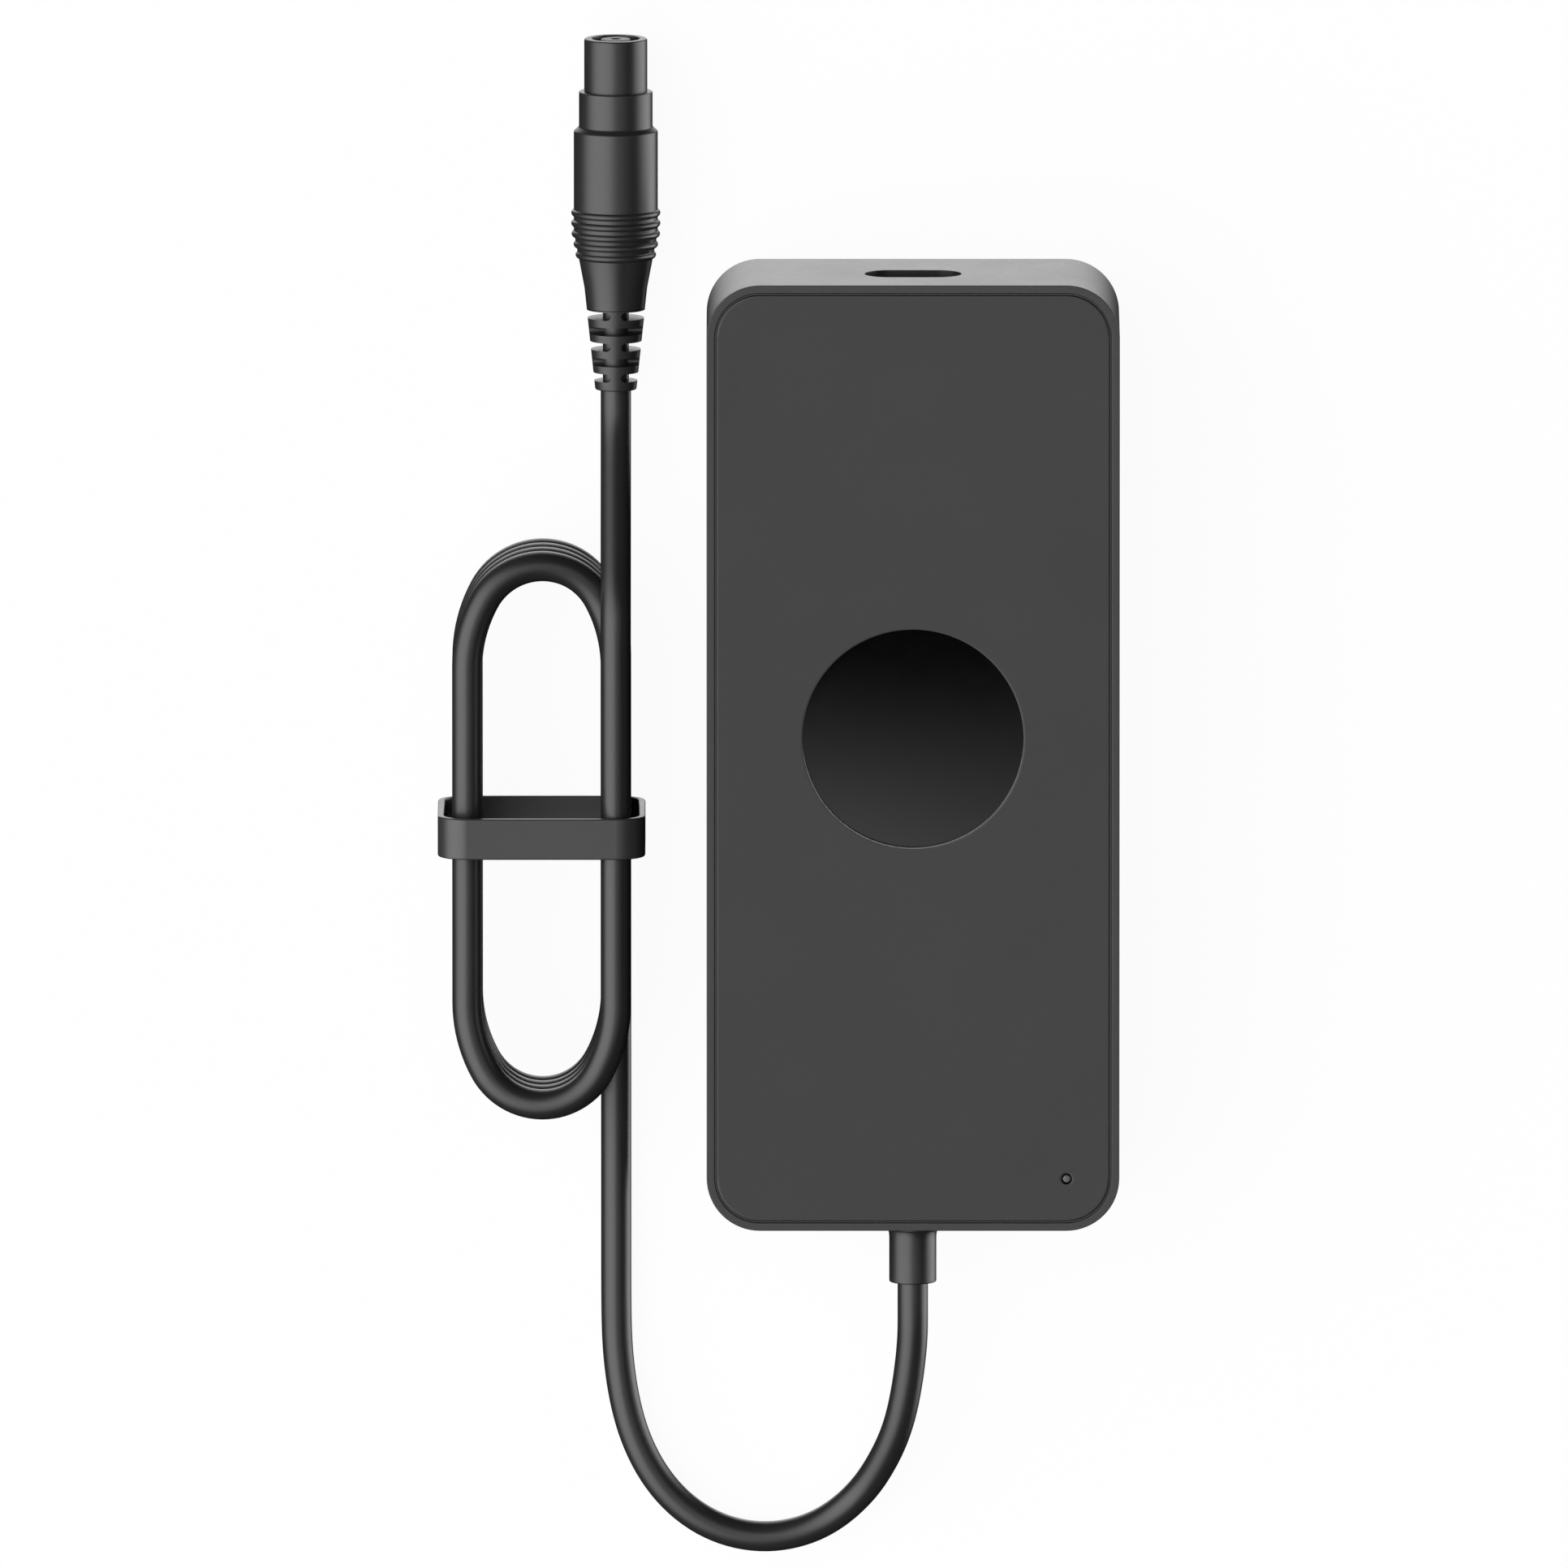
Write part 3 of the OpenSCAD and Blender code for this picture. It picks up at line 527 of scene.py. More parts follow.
# %% Cord
TUCK = 0.6
LONGEST_STEP = 2.5
into_gland = Vector((0, GLAND_END + TUCK, GLAND_Z))
into_boot = Vector((LEG_X, PLUG_Y + TUCK, PLUG_Z))
lead = smooth_route(lead_route)
tail = smooth_route(tail_route)
cord_line = spread([into_gland, *lead, *wound_turns(), *tail, into_boot], LONGEST_STEP)
cord_curve = bpy.data.curves.new("cord", "CURVE")
cord_curve.dimensions = "3D"
cord_curve.bevel_depth = CORD_RADIUS * MM
cord_curve.bevel_resolution = 10
cord_curve.use_fill_caps = True
spline = cord_curve.splines.new("POLY")
spline.points.add(len(cord_line) - 1)
for knot, place in zip(spline.points, cord_line):
    knot.co = (*(place * MM), 1)
spline.use_smooth = True
cord_curve.materials.append(pvc_jacket)
cord = add_object("cord", cord_curve)
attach(cord, "adapter")
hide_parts("cord_lead", "cord_hank", "cord_tail")
CORD_LENGTH = sum((b - a).length for a, b in zip(cord_line, cord_line[1:])) * MM
print("cord", round(CORD_LENGTH, 3), "m in", len(cord_line), "points")

# %% [markdown]
# ## The tub
# The tub is the lower part of the case: a floor and four walls with rounded corners, a thin rim that
# frames the cover, an opening for the mains lead in one end and a bore for the cord in the other. It
# could be a cube with a bevel, but then the wall would have no thickness at its openings. Stepped loops
# give it an outside, a rim, a seat for the cover and an inside in one go.

# %% Tub
CASE_R = 8.4
WALL = 2
RIM = 1.25
GROOVE = 0.35
GROOVE_DEPTH = 0.9
COVER_T = 2.2
TOP_EDGE = 0.12
RIM_EDGE = 0.08
FOOT_EDGE = 0.6
FLAT_RING = 0.3
case_w, case_l, case_t = (case_box[1] - case_box[0]) / MM
seat_z = case_t - COVER_T
end_y = case_l / 2


def stand_up(bm, loop, y, z):
    """Turns a flat loop so that it stands in an end wall."""
    verts = list({vert for edge in loop for vert in edge.verts})
    bmesh.ops.rotate(bm, cent=(0, 0, 0), matrix=QUARTER_TURN, verts=verts)
    bmesh.ops.translate(bm, vec=(0, y, z), verts=verts)
    return loop


def refill(bm, y, loop):
    """Fills an end wall's flat face again, so that a loop in it stays open."""
    flat = [face for face in bm.faces if all(abs(vert.co.y - y) < 1e-4 for vert in face.verts)]
    wall = max(flat, key=lambda face: face.calc_area())
    border = list(wall.edges)
    bmesh.ops.delete(bm, geom=[wall], context="FACES_ONLY")
    bmesh.ops.triangle_fill(bm, use_beauty=True, use_dissolve=False, normal=(0, 1, 0), edges=border + loop)


tub = bmesh.new()
tub_profile = (
    [(FOOT_EDGE + FLAT_RING, 0)]
    + arc((FOOT_EDGE, FOOT_EDGE), FOOT_EDGE, 270, 180, 5)
    + arc((TOP_EDGE, case_t - TOP_EDGE), TOP_EDGE, 180, 90, 4)
    + arc((RIM - RIM_EDGE, case_t - RIM_EDGE), RIM_EDGE, 90, 0, 3)
    + [(RIM, seat_z), (WALL, seat_z), (WALL, WALL)])
tub_loops = stepped(tub, case_w, case_l, CASE_R, tub_profile)
cap(tub, [tub_loops[0]])
cap(tub, [tub_loops[-1]])

# %% [markdown]
# The mains opening is a rounded slot as wide as a figure-eight connector, and its lip is just rounded.
# The cord's bore is a plain hole that the gland fills. Both go through an outer face and an inner face of
# the wall, so each face is filled again round a loop, and the loops are bridged.

# %% Openings in the tub
INLET_W = 15.2
INLET_H = 7.9
INLET_Z = 17.2
NECK_R = 3.2
LIP = 0.1


def stadium(bm, inward, height=0):
    """The mains opening's outline, or one that is a little smaller."""
    return rounded_loop(bm, INLET_W - 2 * inward, INLET_H - 2 * inward, INLET_H / 2 - inward - 1e-3, height)


mouth_profile = (
    [(-LIP - FLAT_RING, 0)] + arc((-LIP, LIP), LIP, 270, 360, 3) + [(0, WALL), (-FLAT_RING, WALL)])
mouth = [stand_up(tub, stadium(tub, inward), end_y - depth, INLET_Z) for inward, depth in mouth_profile]
refill(tub, end_y, mouth[0])
refill(tub, end_y - WALL, mouth[-1])
bridged(tub, mouth)
bore_profile = [(NECK_R + 2, 0), (NECK_R, 0), (NECK_R, WALL), (NECK_R + 1, WALL)]
bore = [stand_up(tub, round_loop(tub, radius, 0, 48), depth - end_y, GLAND_Z)
        for radius, depth in bore_profile]
refill(tub, -end_y, bore[0])
refill(tub, WALL - end_y, bore[-1])
bridged(tub, bore)
print("the mouth has", len(mouth), "loops, the bore", len(bore))

# %% [markdown]
# Four posts on the floor carry the board. Each is turned about its own screw, whose bore is in the
# outline, and sunk half a millimetre into the floor, so that no gap can show there.

# %% Posts
POST_X = 25
POST_Y = 62
POST_R = 3
POST_TOP = 6
POST_EDGE = 0.2
POST_SINK = 0.5
SCREW_R = 1.1
post_foot = WALL - POST_SINK
bore_end = WALL + 0.5
post_outline = [
    (0, post_foot), (POST_R, post_foot), (POST_R, POST_TOP - POST_EDGE), (POST_R - POST_EDGE, POST_TOP),
    (SCREW_R + POST_EDGE, POST_TOP), (SCREW_R, POST_TOP - POST_EDGE), (SCREW_R, bore_end), (0, bore_end)]


def grown_since(bm, before):
    """The points that were added to a bmesh after a note of it was made."""
    return [vert for vert in bm.verts if vert not in before]


for x in (-POST_X, POST_X):
    for y in (-POST_Y, POST_Y):
        before = set(tub.verts)
        turned(tub, post_outline, 32)
        bmesh.ops.translate(tub, vec=(x, y, 0), verts=grown_since(tub, before))
piece("tub", tub, satin_case, ["case_tub"])

# %% [markdown]
# ## The cover
# The cover sits inside the rim, so it reads as a separate plate. A single groove round it would look
# like a pen line. The real joint is two: a narrow land lies a little lower than the cover, and a fine
# crevice runs down each side of it. A round pocket takes the disc and a small hole takes the light
# pipe. Under the plate a skirt centres it in the tub. Again it is one run of stepped loops, now with two
# holes in its top face. The pocket's wall carries a painted highlight: its colour is paler than that
# face, most of all at its lower left, and it is picked out by its distance from the pocket's middle.

# %% Cover
PLAY = 0.05
COVER_EDGE = 0.12
COVER_IN = RIM + GROOVE
SKIRT = 1.4
BADGE_Y = 3.1
BADGE_R = 17.4
BADGE_DROP = 0.8
BADGE_T = 0.8
LED_X = 24.2
LED_Y = -66.9
LED_HOLE_R = 0.86
HOLE_LIP = 0.07
LAND_DEPTH = 0.2
CREVICE = 0.07
groove_z = case_t - GROOVE_DEPTH
land_z = case_t - LAND_DEPTH


def sunk_hole(bm, radius, floor_z, centre, steps):
    """Loops of a round hole in the cover's top, from its rounded lip downwards."""
    lip = arc((radius + HOLE_LIP, case_t - HOLE_LIP), HOLE_LIP, 90, 180, 3)
    outline = [(radius + HOLE_LIP + FLAT_RING, case_t)] + lip + [(radius, floor_z)]
    return [round_loop(bm, across, height, steps, centre) for across, height in outline]


def hypotenuse(first, second):
    """The distance from an axis, from two distances across it."""
    return (first * first + second * second) ** 0.5


# Painted highlight: the pocket's lower left wall is coloured pale, in place of the light it would catch.
def painted_pocket_highlight(paint):
    """How much painted highlight the disc pocket's wall gets: paler than the cover, most at its lower left.
    """
    point = paint.axes()
    along = point["Y"] - BADGE_Y * MM
    from_middle = hypotenuse(point["X"], along)
    on_wall = paint.ramp(from_middle, (BADGE_R + 0.03) * MM, (BADGE_R + 0.01) * MM)
    lower = paint.ramp(along, 0, -4 * MM)
    to_the_left = paint.ramp(point["X"], 12 * MM, -12 * MM, 0.2, 1.0)
    return on_wall * lower * to_the_left


satin_cover = moulded("satin_cover", 0.010, 0.35, wall=painted_pocket_highlight)
cover = bmesh.new()
cover_profile = (
    [(COVER_IN + COVER_EDGE + FLAT_RING, case_t)]
    + arc((COVER_IN + COVER_EDGE, case_t - COVER_EDGE), COVER_EDGE, 90, 180, 3)
    + [(COVER_IN, groove_z), (COVER_IN - CREVICE, groove_z), (COVER_IN - CREVICE, land_z),
       (RIM + CREVICE, land_z), (RIM + CREVICE, groove_z), (RIM + PLAY, groove_z), (RIM + PLAY, seat_z),
       (WALL + 2 * PLAY, seat_z), (WALL + 2 * PLAY, seat_z - SKIRT), (WALL + 1, seat_z - SKIRT),
       (WALL + 1, seat_z)])
cover_loops = stepped(cover, case_w, case_l, CASE_R, cover_profile)
pocket = bridged(cover, sunk_hole(cover, BADGE_R, case_t - BADGE_DROP - BADGE_T, (0, BADGE_Y), 128))
led_hole = bridged(cover, sunk_hole(cover, LED_HOLE_R, seat_z, (LED_X, LED_Y), 40))
cap(cover, [cover_loops[0], pocket[0], led_hole[0]])
cap(cover, [cover_loops[-1], led_hole[-1]])
cap(cover, [pocket[-1]])
piece("cover", cover, satin_cover, ["front_cover"])

# %% [markdown]
# ## The sunk disc
# The disc lies a little below the cover, and its face is very slightly crowned. That is hard to see in
# its shape and easy to see in its gloss: a flat mirror would show nearly one tone, and the crown sweeps
# its reflection from the middle of a dark gap overhead to the gap's pale edge. Its face is left bare.

# %% Disc
CROWN = 0.25
DISC_R = BADGE_R - 0.02
crown_radius = (DISC_R ** 2 + CROWN ** 2) / (2 * CROWN)
crown_turn = math.degrees(math.asin(DISC_R / crown_radius))
disc = bmesh.new()
crown = arc((0, BADGE_T - crown_radius), crown_radius, 90 - crown_turn, 90, 24)
turned(disc, [(0, 0), (DISC_R - 0.1, 0), (DISC_R, 0.1)] + crown[:-1] + [(0, BADGE_T)], 128)
bmesh.ops.translate(disc, vec=(0, BADGE_Y, case_t - BADGE_DROP - BADGE_T), verts=disc.verts)
piece("disc", disc, polished_black, ["badge_disc"])

# %% [markdown]
# ## The indicator
# A light pipe carries the light of an LED on the board up to the cover. It is a stem with a foot
# that can't pass the hole, and an end with a rounded edge just below the surface. A dark gap shows all
# round it.

# %% Light pipe
PIPE_R = 0.6
PIPE_EDGE = 0.2
PIPE_FOOT_R = 1.6
PIPE_FOOT_T = 1
FOOT_GAP = 0.02
pipe_top = case_t - 0.04
foot_z = seat_z - FOOT_GAP
pipe_end = arc((PIPE_R - PIPE_EDGE, pipe_top - PIPE_EDGE), PIPE_EDGE, 0, 90, 6) + [(0, pipe_top)]
pipe = bmesh.new()
pipe_foot = [
    (0, seat_z - PIPE_FOOT_T), (PIPE_FOOT_R, seat_z - PIPE_FOOT_T), (PIPE_FOOT_R, foot_z), (PIPE_R, foot_z)]
turned(pipe, pipe_foot + pipe_end, 40)
bmesh.ops.translate(pipe, vec=(LED_X, LED_Y, 0), verts=pipe.verts)
piece("indicator_lens", pipe, frosted_acrylic, ["light_pipe"])

# %% [markdown]
# ## The mains inlet
# Behind the opening sits an insulating block with a deep well, and two round pins stand in it, short
# of the mouth so that no finger reaches them. The block is built lying flat and then tipped, so that the
# well opens out of the end wall.

# %% Inlet block and pins
INLET_DEPTH = 12.6
PIN_PITCH = 8.6
PIN_R = 1.2
PIN_SETBACK = 4.4
BLOCK_W = 24
BLOCK_H = 16
BLOCK_R = 1.2
BLOCK_RISE = -1.6
BLOCK_BACK = 1.8
EAR_W = 2.2
EAR_T = 2.4
EAR_INSET = 3.2


def tip_over(bm, place):
    """Tips what was built along Z so that it runs along +Y, and puts its origin at a place."""
    turn = Matrix.Rotation(math.radians(-90), 3, "X")
    bmesh.ops.rotate(bm, cent=(0, 0, 0), matrix=turn, verts=bm.verts)
    bmesh.ops.translate(bm, vec=place, verts=bm.verts)


def plain_block(bm, width, length, radius, profile, place):
    """A closed rounded block of stepped loops, moved to a place."""
    before = set(bm.verts)
    loops = stepped(bm, width, length, radius, profile)
    cap(bm, [loops[0]])
    cap(bm, [loops[-1]])
    bmesh.ops.translate(bm, vec=place, verts=grown_since(bm, before))


block = bmesh.new()
block_long = INLET_DEPTH - WALL + BLOCK_BACK
block_loops = stepped(block, BLOCK_W, BLOCK_H, BLOCK_R, [(0.2, 0), (0, 0.2), (0, block_long)])
bmesh.ops.translate(block, vec=(0, -BLOCK_RISE, 0), verts=block.verts)
cap(block, [block_loops[0]])
well = bridged(block, [stadium(block, inward, height) for inward, height in (
    (0, block_long), (0, BLOCK_BACK + 0.5), (0.15, BLOCK_BACK + 0.15), (0.5, BLOCK_BACK))])
cap(block, [block_loops[-1], well[0]])
cap(block, [well[-1]])
for side in (-1, 1):
    ear_place = (side * (BLOCK_W + EAR_W) / 2, -BLOCK_RISE, block_long - EAR_INSET)
    plain_block(block, EAR_W, BLOCK_H, 0.3, [(0, 0), (0, EAR_T)], ear_place)
tip_over(block, (0, end_y - WALL - block_long, INLET_Z))
piece("mains_socket", block, inlet_nylon, ["inlet_housing"])

pins = bmesh.new()
pin_long = INLET_DEPTH + BLOCK_BACK * 2 - PIN_SETBACK
pin_tip = arc((0, pin_long - PIN_R), PIN_R, 0, 90, 8)
for side in (-1, 1):
    before = set(pins.verts)
    turned(pins, [(0, 0), (PIN_R - 0.15, 0), (PIN_R, 0.15)] + pin_tip[:-1] + [(0, pin_long)], 36)
    bmesh.ops.translate(pins, vec=(side * PIN_PITCH / 2, 0, 0), verts=grown_since(pins, before))
tip_over(pins, (0, end_y - PIN_SETBACK - pin_long, INLET_Z))
piece("mains_pins", pins, pin_nickel, ["inlet_pins"])

# %% [markdown]
# ## The gland
# The gland holds the cord in the wall: a flange inside, a neck in the bore, and outside a root that
# blends into a barrel. It is moulded round the cord, so its end closes on the jacket with a thin gap.

# %% Gland
GLAND_R = 3.72
GLAND_ROOT = 4.2
ROOT_LONG = 1.8
BLEND_LONG = 1.6
FLANGE_R = 5
FLANGE_DEPTH = 3.5
GLAND_EDGE = 0.25
JACKET_GAP = 0.06
GAP_DEPTH = 0.5
gland_long = -GLAND_END - end_y
quarter = [math.radians(9 * step) for step in range(11)]
gland_blend = [(GLAND_R + (GLAND_ROOT - GLAND_R) * (1 - math.sin(turn)),
                ROOT_LONG + BLEND_LONG * (1 - math.cos(turn))) for turn in quarter]


def jacket_gap(height, inwards):
    """The thin recess round the cord where a moulded sleeve ends."""
    near = CORD_RADIUS + JACKET_GAP
    return [(near + 0.08, height), (near, height + inwards * 0.1), (near, height + inwards * GAP_DEPTH)]


gland = bmesh.new()
gland_outline = (
    [(0, -FLANGE_DEPTH), (FLANGE_R, -FLANGE_DEPTH), (FLANGE_R, -WALL), (NECK_R, -WALL)]
    + [(NECK_R, 0), (GLAND_ROOT, 0)] + gland_blend
    + arc((GLAND_R - GLAND_EDGE, gland_long - GLAND_EDGE), GLAND_EDGE, 0, 90, 5)
    + jacket_gap(gland_long, -1) + [(0, gland_long - GAP_DEPTH)])
turned(gland, gland_outline)
bmesh.ops.rotate(gland, cent=(0, 0, 0), matrix=QUARTER_TURN, verts=gland.verts)
bmesh.ops.translate(gland, vec=(0, -end_y, GLAND_Z), verts=gland.verts)
gland_piece = piece("gland", gland, gland_rubber, ["cable_gland"])

# %% [markdown]
# ## The keeper band
# A moulded band holds the turns together and slides along them. It is one closed run of loops: up the
# outside, over the edge, down the inside and back. The edges are rounded, because this is the
# piece that fingers push.

# %% Band
BAND_WALL = 1.1
BAND_R = 4.7
BAND_EDGE = 0.28
band_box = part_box("hank_band")
band_w, band_long, band_h = (band_box[1] - band_box[0]) / MM
band_x, _, band_z = (band_box[0] + band_box[1]) / 2 / MM
band = bmesh.new()
band_profile = (
    arc((BAND_EDGE, BAND_EDGE), BAND_EDGE, 270, 180, 4)
    + arc((BAND_EDGE, band_long - BAND_EDGE), BAND_EDGE, 180, 90, 4)
    + arc((BAND_WALL - BAND_EDGE, band_long - BAND_EDGE), BAND_EDGE, 90, 0, 4)
    + arc((BAND_WALL - BAND_EDGE, BAND_EDGE), BAND_EDGE, 0, -90, 4))
stepped(band, band_w, band_h, BAND_R, band_profile, closed=True)
tip_over(band, (band_x, band_box[0].y / MM, band_z))
band_piece = piece("keeper_band", band, band_rubber, ["hank_band"], body="keeper")

# %% [markdown]
# ## The plug's grip
# The grip is one turned form: a taper that carries on from the boot, a sleeve, a soft shoulder and a
# collar. Five beads stand on the taper's wide end for the fingers. Each bead is a circle that is sunk in
# the taper, and where they meet the mould is eased by a small hollow. A smooth maximum of the two
# outlines makes that hollow.

# %% Grip
BOOT_LONG = 12.9
BOOT_R = 3.28
BOOT_FLARE = 0.103
TAPER_R = BOOT_R + BOOT_FLARE * BOOT_LONG
WAIST_S = 16.2
WAIST_R = TAPER_R + BOOT_FLARE * (WAIST_S - BOOT_LONG)
SLEEVE_S = 25
SLEEVE_R = 6.62
SHOULDER_S = 40.9
COLLAR_S = 42
COLLAR_R = 5.8
NOSE_S = 47.4
NOSE_R = 4.97
TIP_S = 55.8
BEAD_R = 0.56
BEAD_SINK = 0.16
BEAD_PITCH = 1.67
BEADS = 5
LAST_BEAD = 28.1
BEAD_MARGIN = 1.2
EASE = 0.16
SHOULDER_EDGE = 0.4
COLLAR_ROOT = 0.45
COLLAR_EDGE = 0.22


def smooth_max(a, b, ease):
    """The larger of two numbers, eased where they are nearly equal."""
    near = max(ease - abs(a - b), 0) / ease
    return max(a, b) + near * near * ease / 4


def taper(s):
    """Radius of the taper and the sleeve, without the beads."""
    rising = WAIST_R + (SLEEVE_R - WAIST_R) * (s - WAIST_S) / (SLEEVE_S - WAIST_S)
    return -smooth_max(-rising, -SLEEVE_R, 0.1)


def beaded(s):
    """Radius of the grip at a distance from the cord's end of the plug."""
    radius = taper(s)
    for bead in range(BEADS):
        middle = LAST_BEAD - bead * BEAD_PITCH
        off = abs(s - middle)
        if off < BEAD_R:
            radius = smooth_max(radius, taper(middle) - BEAD_SINK + math.sqrt(BEAD_R ** 2 - off ** 2), EASE)
    return radius


BEAD_STEPS = 170
bead_start = LAST_BEAD - (BEADS - 1) * BEAD_PITCH - BEAD_MARGIN
bead_stretch = LAST_BEAD + BEAD_MARGIN - bead_start
bead_places = [bead_start + bead_stretch * step / BEAD_STEPS for step in range(BEAD_STEPS + 1)]
grip_outline = (
    [(0, BOOT_LONG), (TAPER_R - 0.12, BOOT_LONG), (TAPER_R, BOOT_LONG + 0.1), (WAIST_R, WAIST_S)]
    + [(beaded(s), s) for s in bead_places]
    + arc((SLEEVE_R - SHOULDER_EDGE, SHOULDER_S), SHOULDER_EDGE, 0, 50, 6)
    + arc((COLLAR_R + COLLAR_ROOT, COLLAR_S), COLLAR_ROOT, 230, 180, 6)
    + arc((COLLAR_R - COLLAR_EDGE, NOSE_S - COLLAR_EDGE), COLLAR_EDGE, 0, 90, 4) + [(0, NOSE_S)])
plug_start = (LEG_X, PLUG_Y, PLUG_Z)
grip = bmesh.new()
turned(grip, grip_outline, 128)
tip_over(grip, plug_start)
grip_piece = piece("plug_grip", grip, satin_plug, ["plug_body"])

# %% [markdown]
# ## The slotted boot
# The boot lets the cord bend without a kink. Pairs of slots cut it almost through, and each pair is
# a quarter turn round from the last, so every ring hangs on two webs. It is hard to model as one
# skin, and easy to cut: a cone, less ten slots with round ends, plus a core. The Boolean modifier does
# the cutting, and a bmesh takes the result back and joins flat faces. A Bevel modifier eases the edges, and
# is moved in front of the Weighted Normal, which has to see the final faces.

# %% Boot
SLOT_W = 1.3
SLOT_PITCH = 2.49
FIRST_SLOT = 2.1
SLOTS = 5
SLOT_REACH = 8
WEB = 0.83
BOOT_CORE = 2.06


def cutting_object(name, bm):
    """A mesh object for cutting with, which is removed afterwards."""
    bmesh.ops.recalc_face_normals(bm, faces=bm.faces)
    return add_mesh(name, bm)


cone = bmesh.new()
cone_end = arc((BOOT_R - 0.25, 0.25), 0.25, 270, 360, 4)
turned(cone, [(0, GAP_DEPTH)] + jacket_gap(0, 1)[::-1] + cone_end + [(TAPER_R, BOOT_LONG), (0, BOOT_LONG)])
slots = bmesh.new()
for slot in range(SLOTS):
    for side in (0, 180):
        before = set(slots.verts)
        plain_block(slots, SLOT_REACH, SLOT_W, SLOT_W / 2 - 1e-3, [(0, -SLOT_REACH), (0, SLOT_REACH)],
                    (WEB + SLOT_REACH / 2, 0, 0))
        grown = grown_since(slots, before)
        bmesh.ops.rotate(slots, cent=(0, 0, 0), matrix=QUARTER_TURN, verts=grown)
        turn = Matrix.Rotation(math.radians(side + slot % 2 * 90), 3, "Z")
        bmesh.ops.rotate(slots, cent=(0, 0, 0), matrix=turn, verts=grown)
        bmesh.ops.translate(slots, vec=(0, 0, FIRST_SLOT + slot * SLOT_PITCH), verts=grown)
core = bmesh.new()
turned(core, [(0, 0.6), (BOOT_CORE, 0.6), (BOOT_CORE, BOOT_LONG - 0.1), (0, BOOT_LONG - 0.1)], 64)
cone_object = cutting_object("cone", cone)
helpers = [cutting_object("slots", slots), cutting_object("core", core)]
for helper, operation in zip(helpers, ("DIFFERENCE", "UNION")):
    cut = cone_object.modifiers.new(operation.lower(), "BOOLEAN")
    cut.operation = operation
    cut.solver = "EXACT"
    cut.object = helper
bpy.context.view_layer.update()
boot = bmesh.new()
boot.from_mesh(cone_object.evaluated_get(bpy.context.evaluated_depsgraph_get()).to_mesh())
for helper in (cone_object, *helpers):
    bpy.data.objects.remove(helper)
bmesh.ops.remove_doubles(boot, verts=boot.verts, dist=0.002)
bmesh.ops.dissolve_limit(boot, angle_limit=math.radians(1), verts=[], edges=boot.edges)
tip_over(boot, plug_start)
boot_piece = piece("plug_boot_skin", boot, boot_rubber, ["plug_boot"])
easing = boot_piece.modifiers.new("eased_edges", "BEVEL")
easing.width = 0.08 * MM
easing.segments = 2
easing.limit_method = "ANGLE"
easing.angle_limit = math.radians(40)
boot_piece.modifiers.move(1, 0)

# %% [markdown]
# ## The plug's nose
# The nose is a tube, and a paler core stands in it with a hole for the socket's centre pin. Between them
# is the ring that the socket's barrel enters, lined by a metal contact. All of them are turned. The
# hole is far deeper than it is wide, so its wall gets a painted shade: it is coloured near black, as
# such a hole looks from outside.

# %% Nose, core and contacts
BORE_R = 3.75
BORE_DEPTH = 7
CONTACT_T = 0.35
CONTACT_LIP = 0.8
CORE_R = 2.35
CORE_EDGE = 0.2
CORE_SINK = 0.1
CORE_HOLE_R = 0.79
HOLE_FLOOR_T = 1
CENTRE_T = 0.2
CENTRE_LONG = 4
NOSE_EDGE = 0.3
LEAD_IN = 0.15
bore_floor = TIP_S - BORE_DEPTH
lip_s = TIP_S - CONTACT_LIP
core_face = TIP_S - CORE_SINK
hole_floor = bore_floor + HOLE_FLOOR_T
nose_outline = (
    [(0, NOSE_S), (NOSE_R, NOSE_S)] + arc((NOSE_R - NOSE_EDGE, TIP_S - NOSE_EDGE), NOSE_EDGE, 0, 90, 6)
    + arc((BORE_R + LEAD_IN, TIP_S - LEAD_IN), LEAD_IN, 90, 180, 4)
    + [(BORE_R, lip_s), (BORE_R + CONTACT_T, lip_s), (BORE_R + CONTACT_T, bore_floor), (0, bore_floor)])
core_outline = (
    [(0, bore_floor), (CORE_R, bore_floor)]
    + arc((CORE_R - CORE_EDGE, core_face - CORE_EDGE), CORE_EDGE, 0, 90, 4)
    + [(CORE_HOLE_R + 0.03, core_face), (CORE_HOLE_R, core_face - 0.03), (CORE_HOLE_R, hole_floor)]
    + [(0, hole_floor)])


def painted_hole_shade(paint):
    """Picks out the wall of the core's hole, which gets a painted shade."""
    point = paint.axes()
    from_axis = hypotenuse(point["X"] - LEG_X * MM, point["Z"] - PLUG_Z * MM)
    return paint.ramp(from_axis, (CORE_HOLE_R + 0.04) * MM, (CORE_HOLE_R + 0.02) * MM)


# Painted shade: the wall of the core's hole is coloured near black.
pale_core = moulded("pale_core", 0.10, 0.45, wall=painted_hole_shade, painted_shading_grey=0.002)


def sleeve_outline(inner, outer, start, end):
    """The closed outline of a thin metal lining."""
    return [(inner, start), (outer, start), (outer, end), (inner, end), (inner, start)]


barrel_outline = sleeve_outline(BORE_R, BORE_R + CONTACT_T, bore_floor, lip_s)
centre_outline = sleeve_outline(CORE_HOLE_R - CENTRE_T, CORE_HOLE_R, hole_floor, hole_floor + CENTRE_LONG)
for name, outline, finish, slot, node in (
        ("plug_nose_tube", nose_outline, satin_plug, "plug_plastic", "plug_nose"),
        ("barrel_contact", barrel_outline, contact_brass, "contact_metal", "plug_barrel_contact"),
        ("nose_core", core_outline, pale_core, "plug_core_plastic", "plug_core"),
        ("centre_contact", centre_outline, contact_brass, "contact_metal", "plug_centre_contact")):
    form = bmesh.new()
    turned(form, outline)
    tip_over(form, plug_start)
    piece(name, form, finish, [node])

# %% [markdown]
# ## What is inside
# The closed case hides its board and everything on it. Those solids stay as the frame has them, and each
# still gets a finish of its own kind, so that a cut-away or an opened case looks right. The
# record already names a colour and a class for each, and one function turns that row into a material.

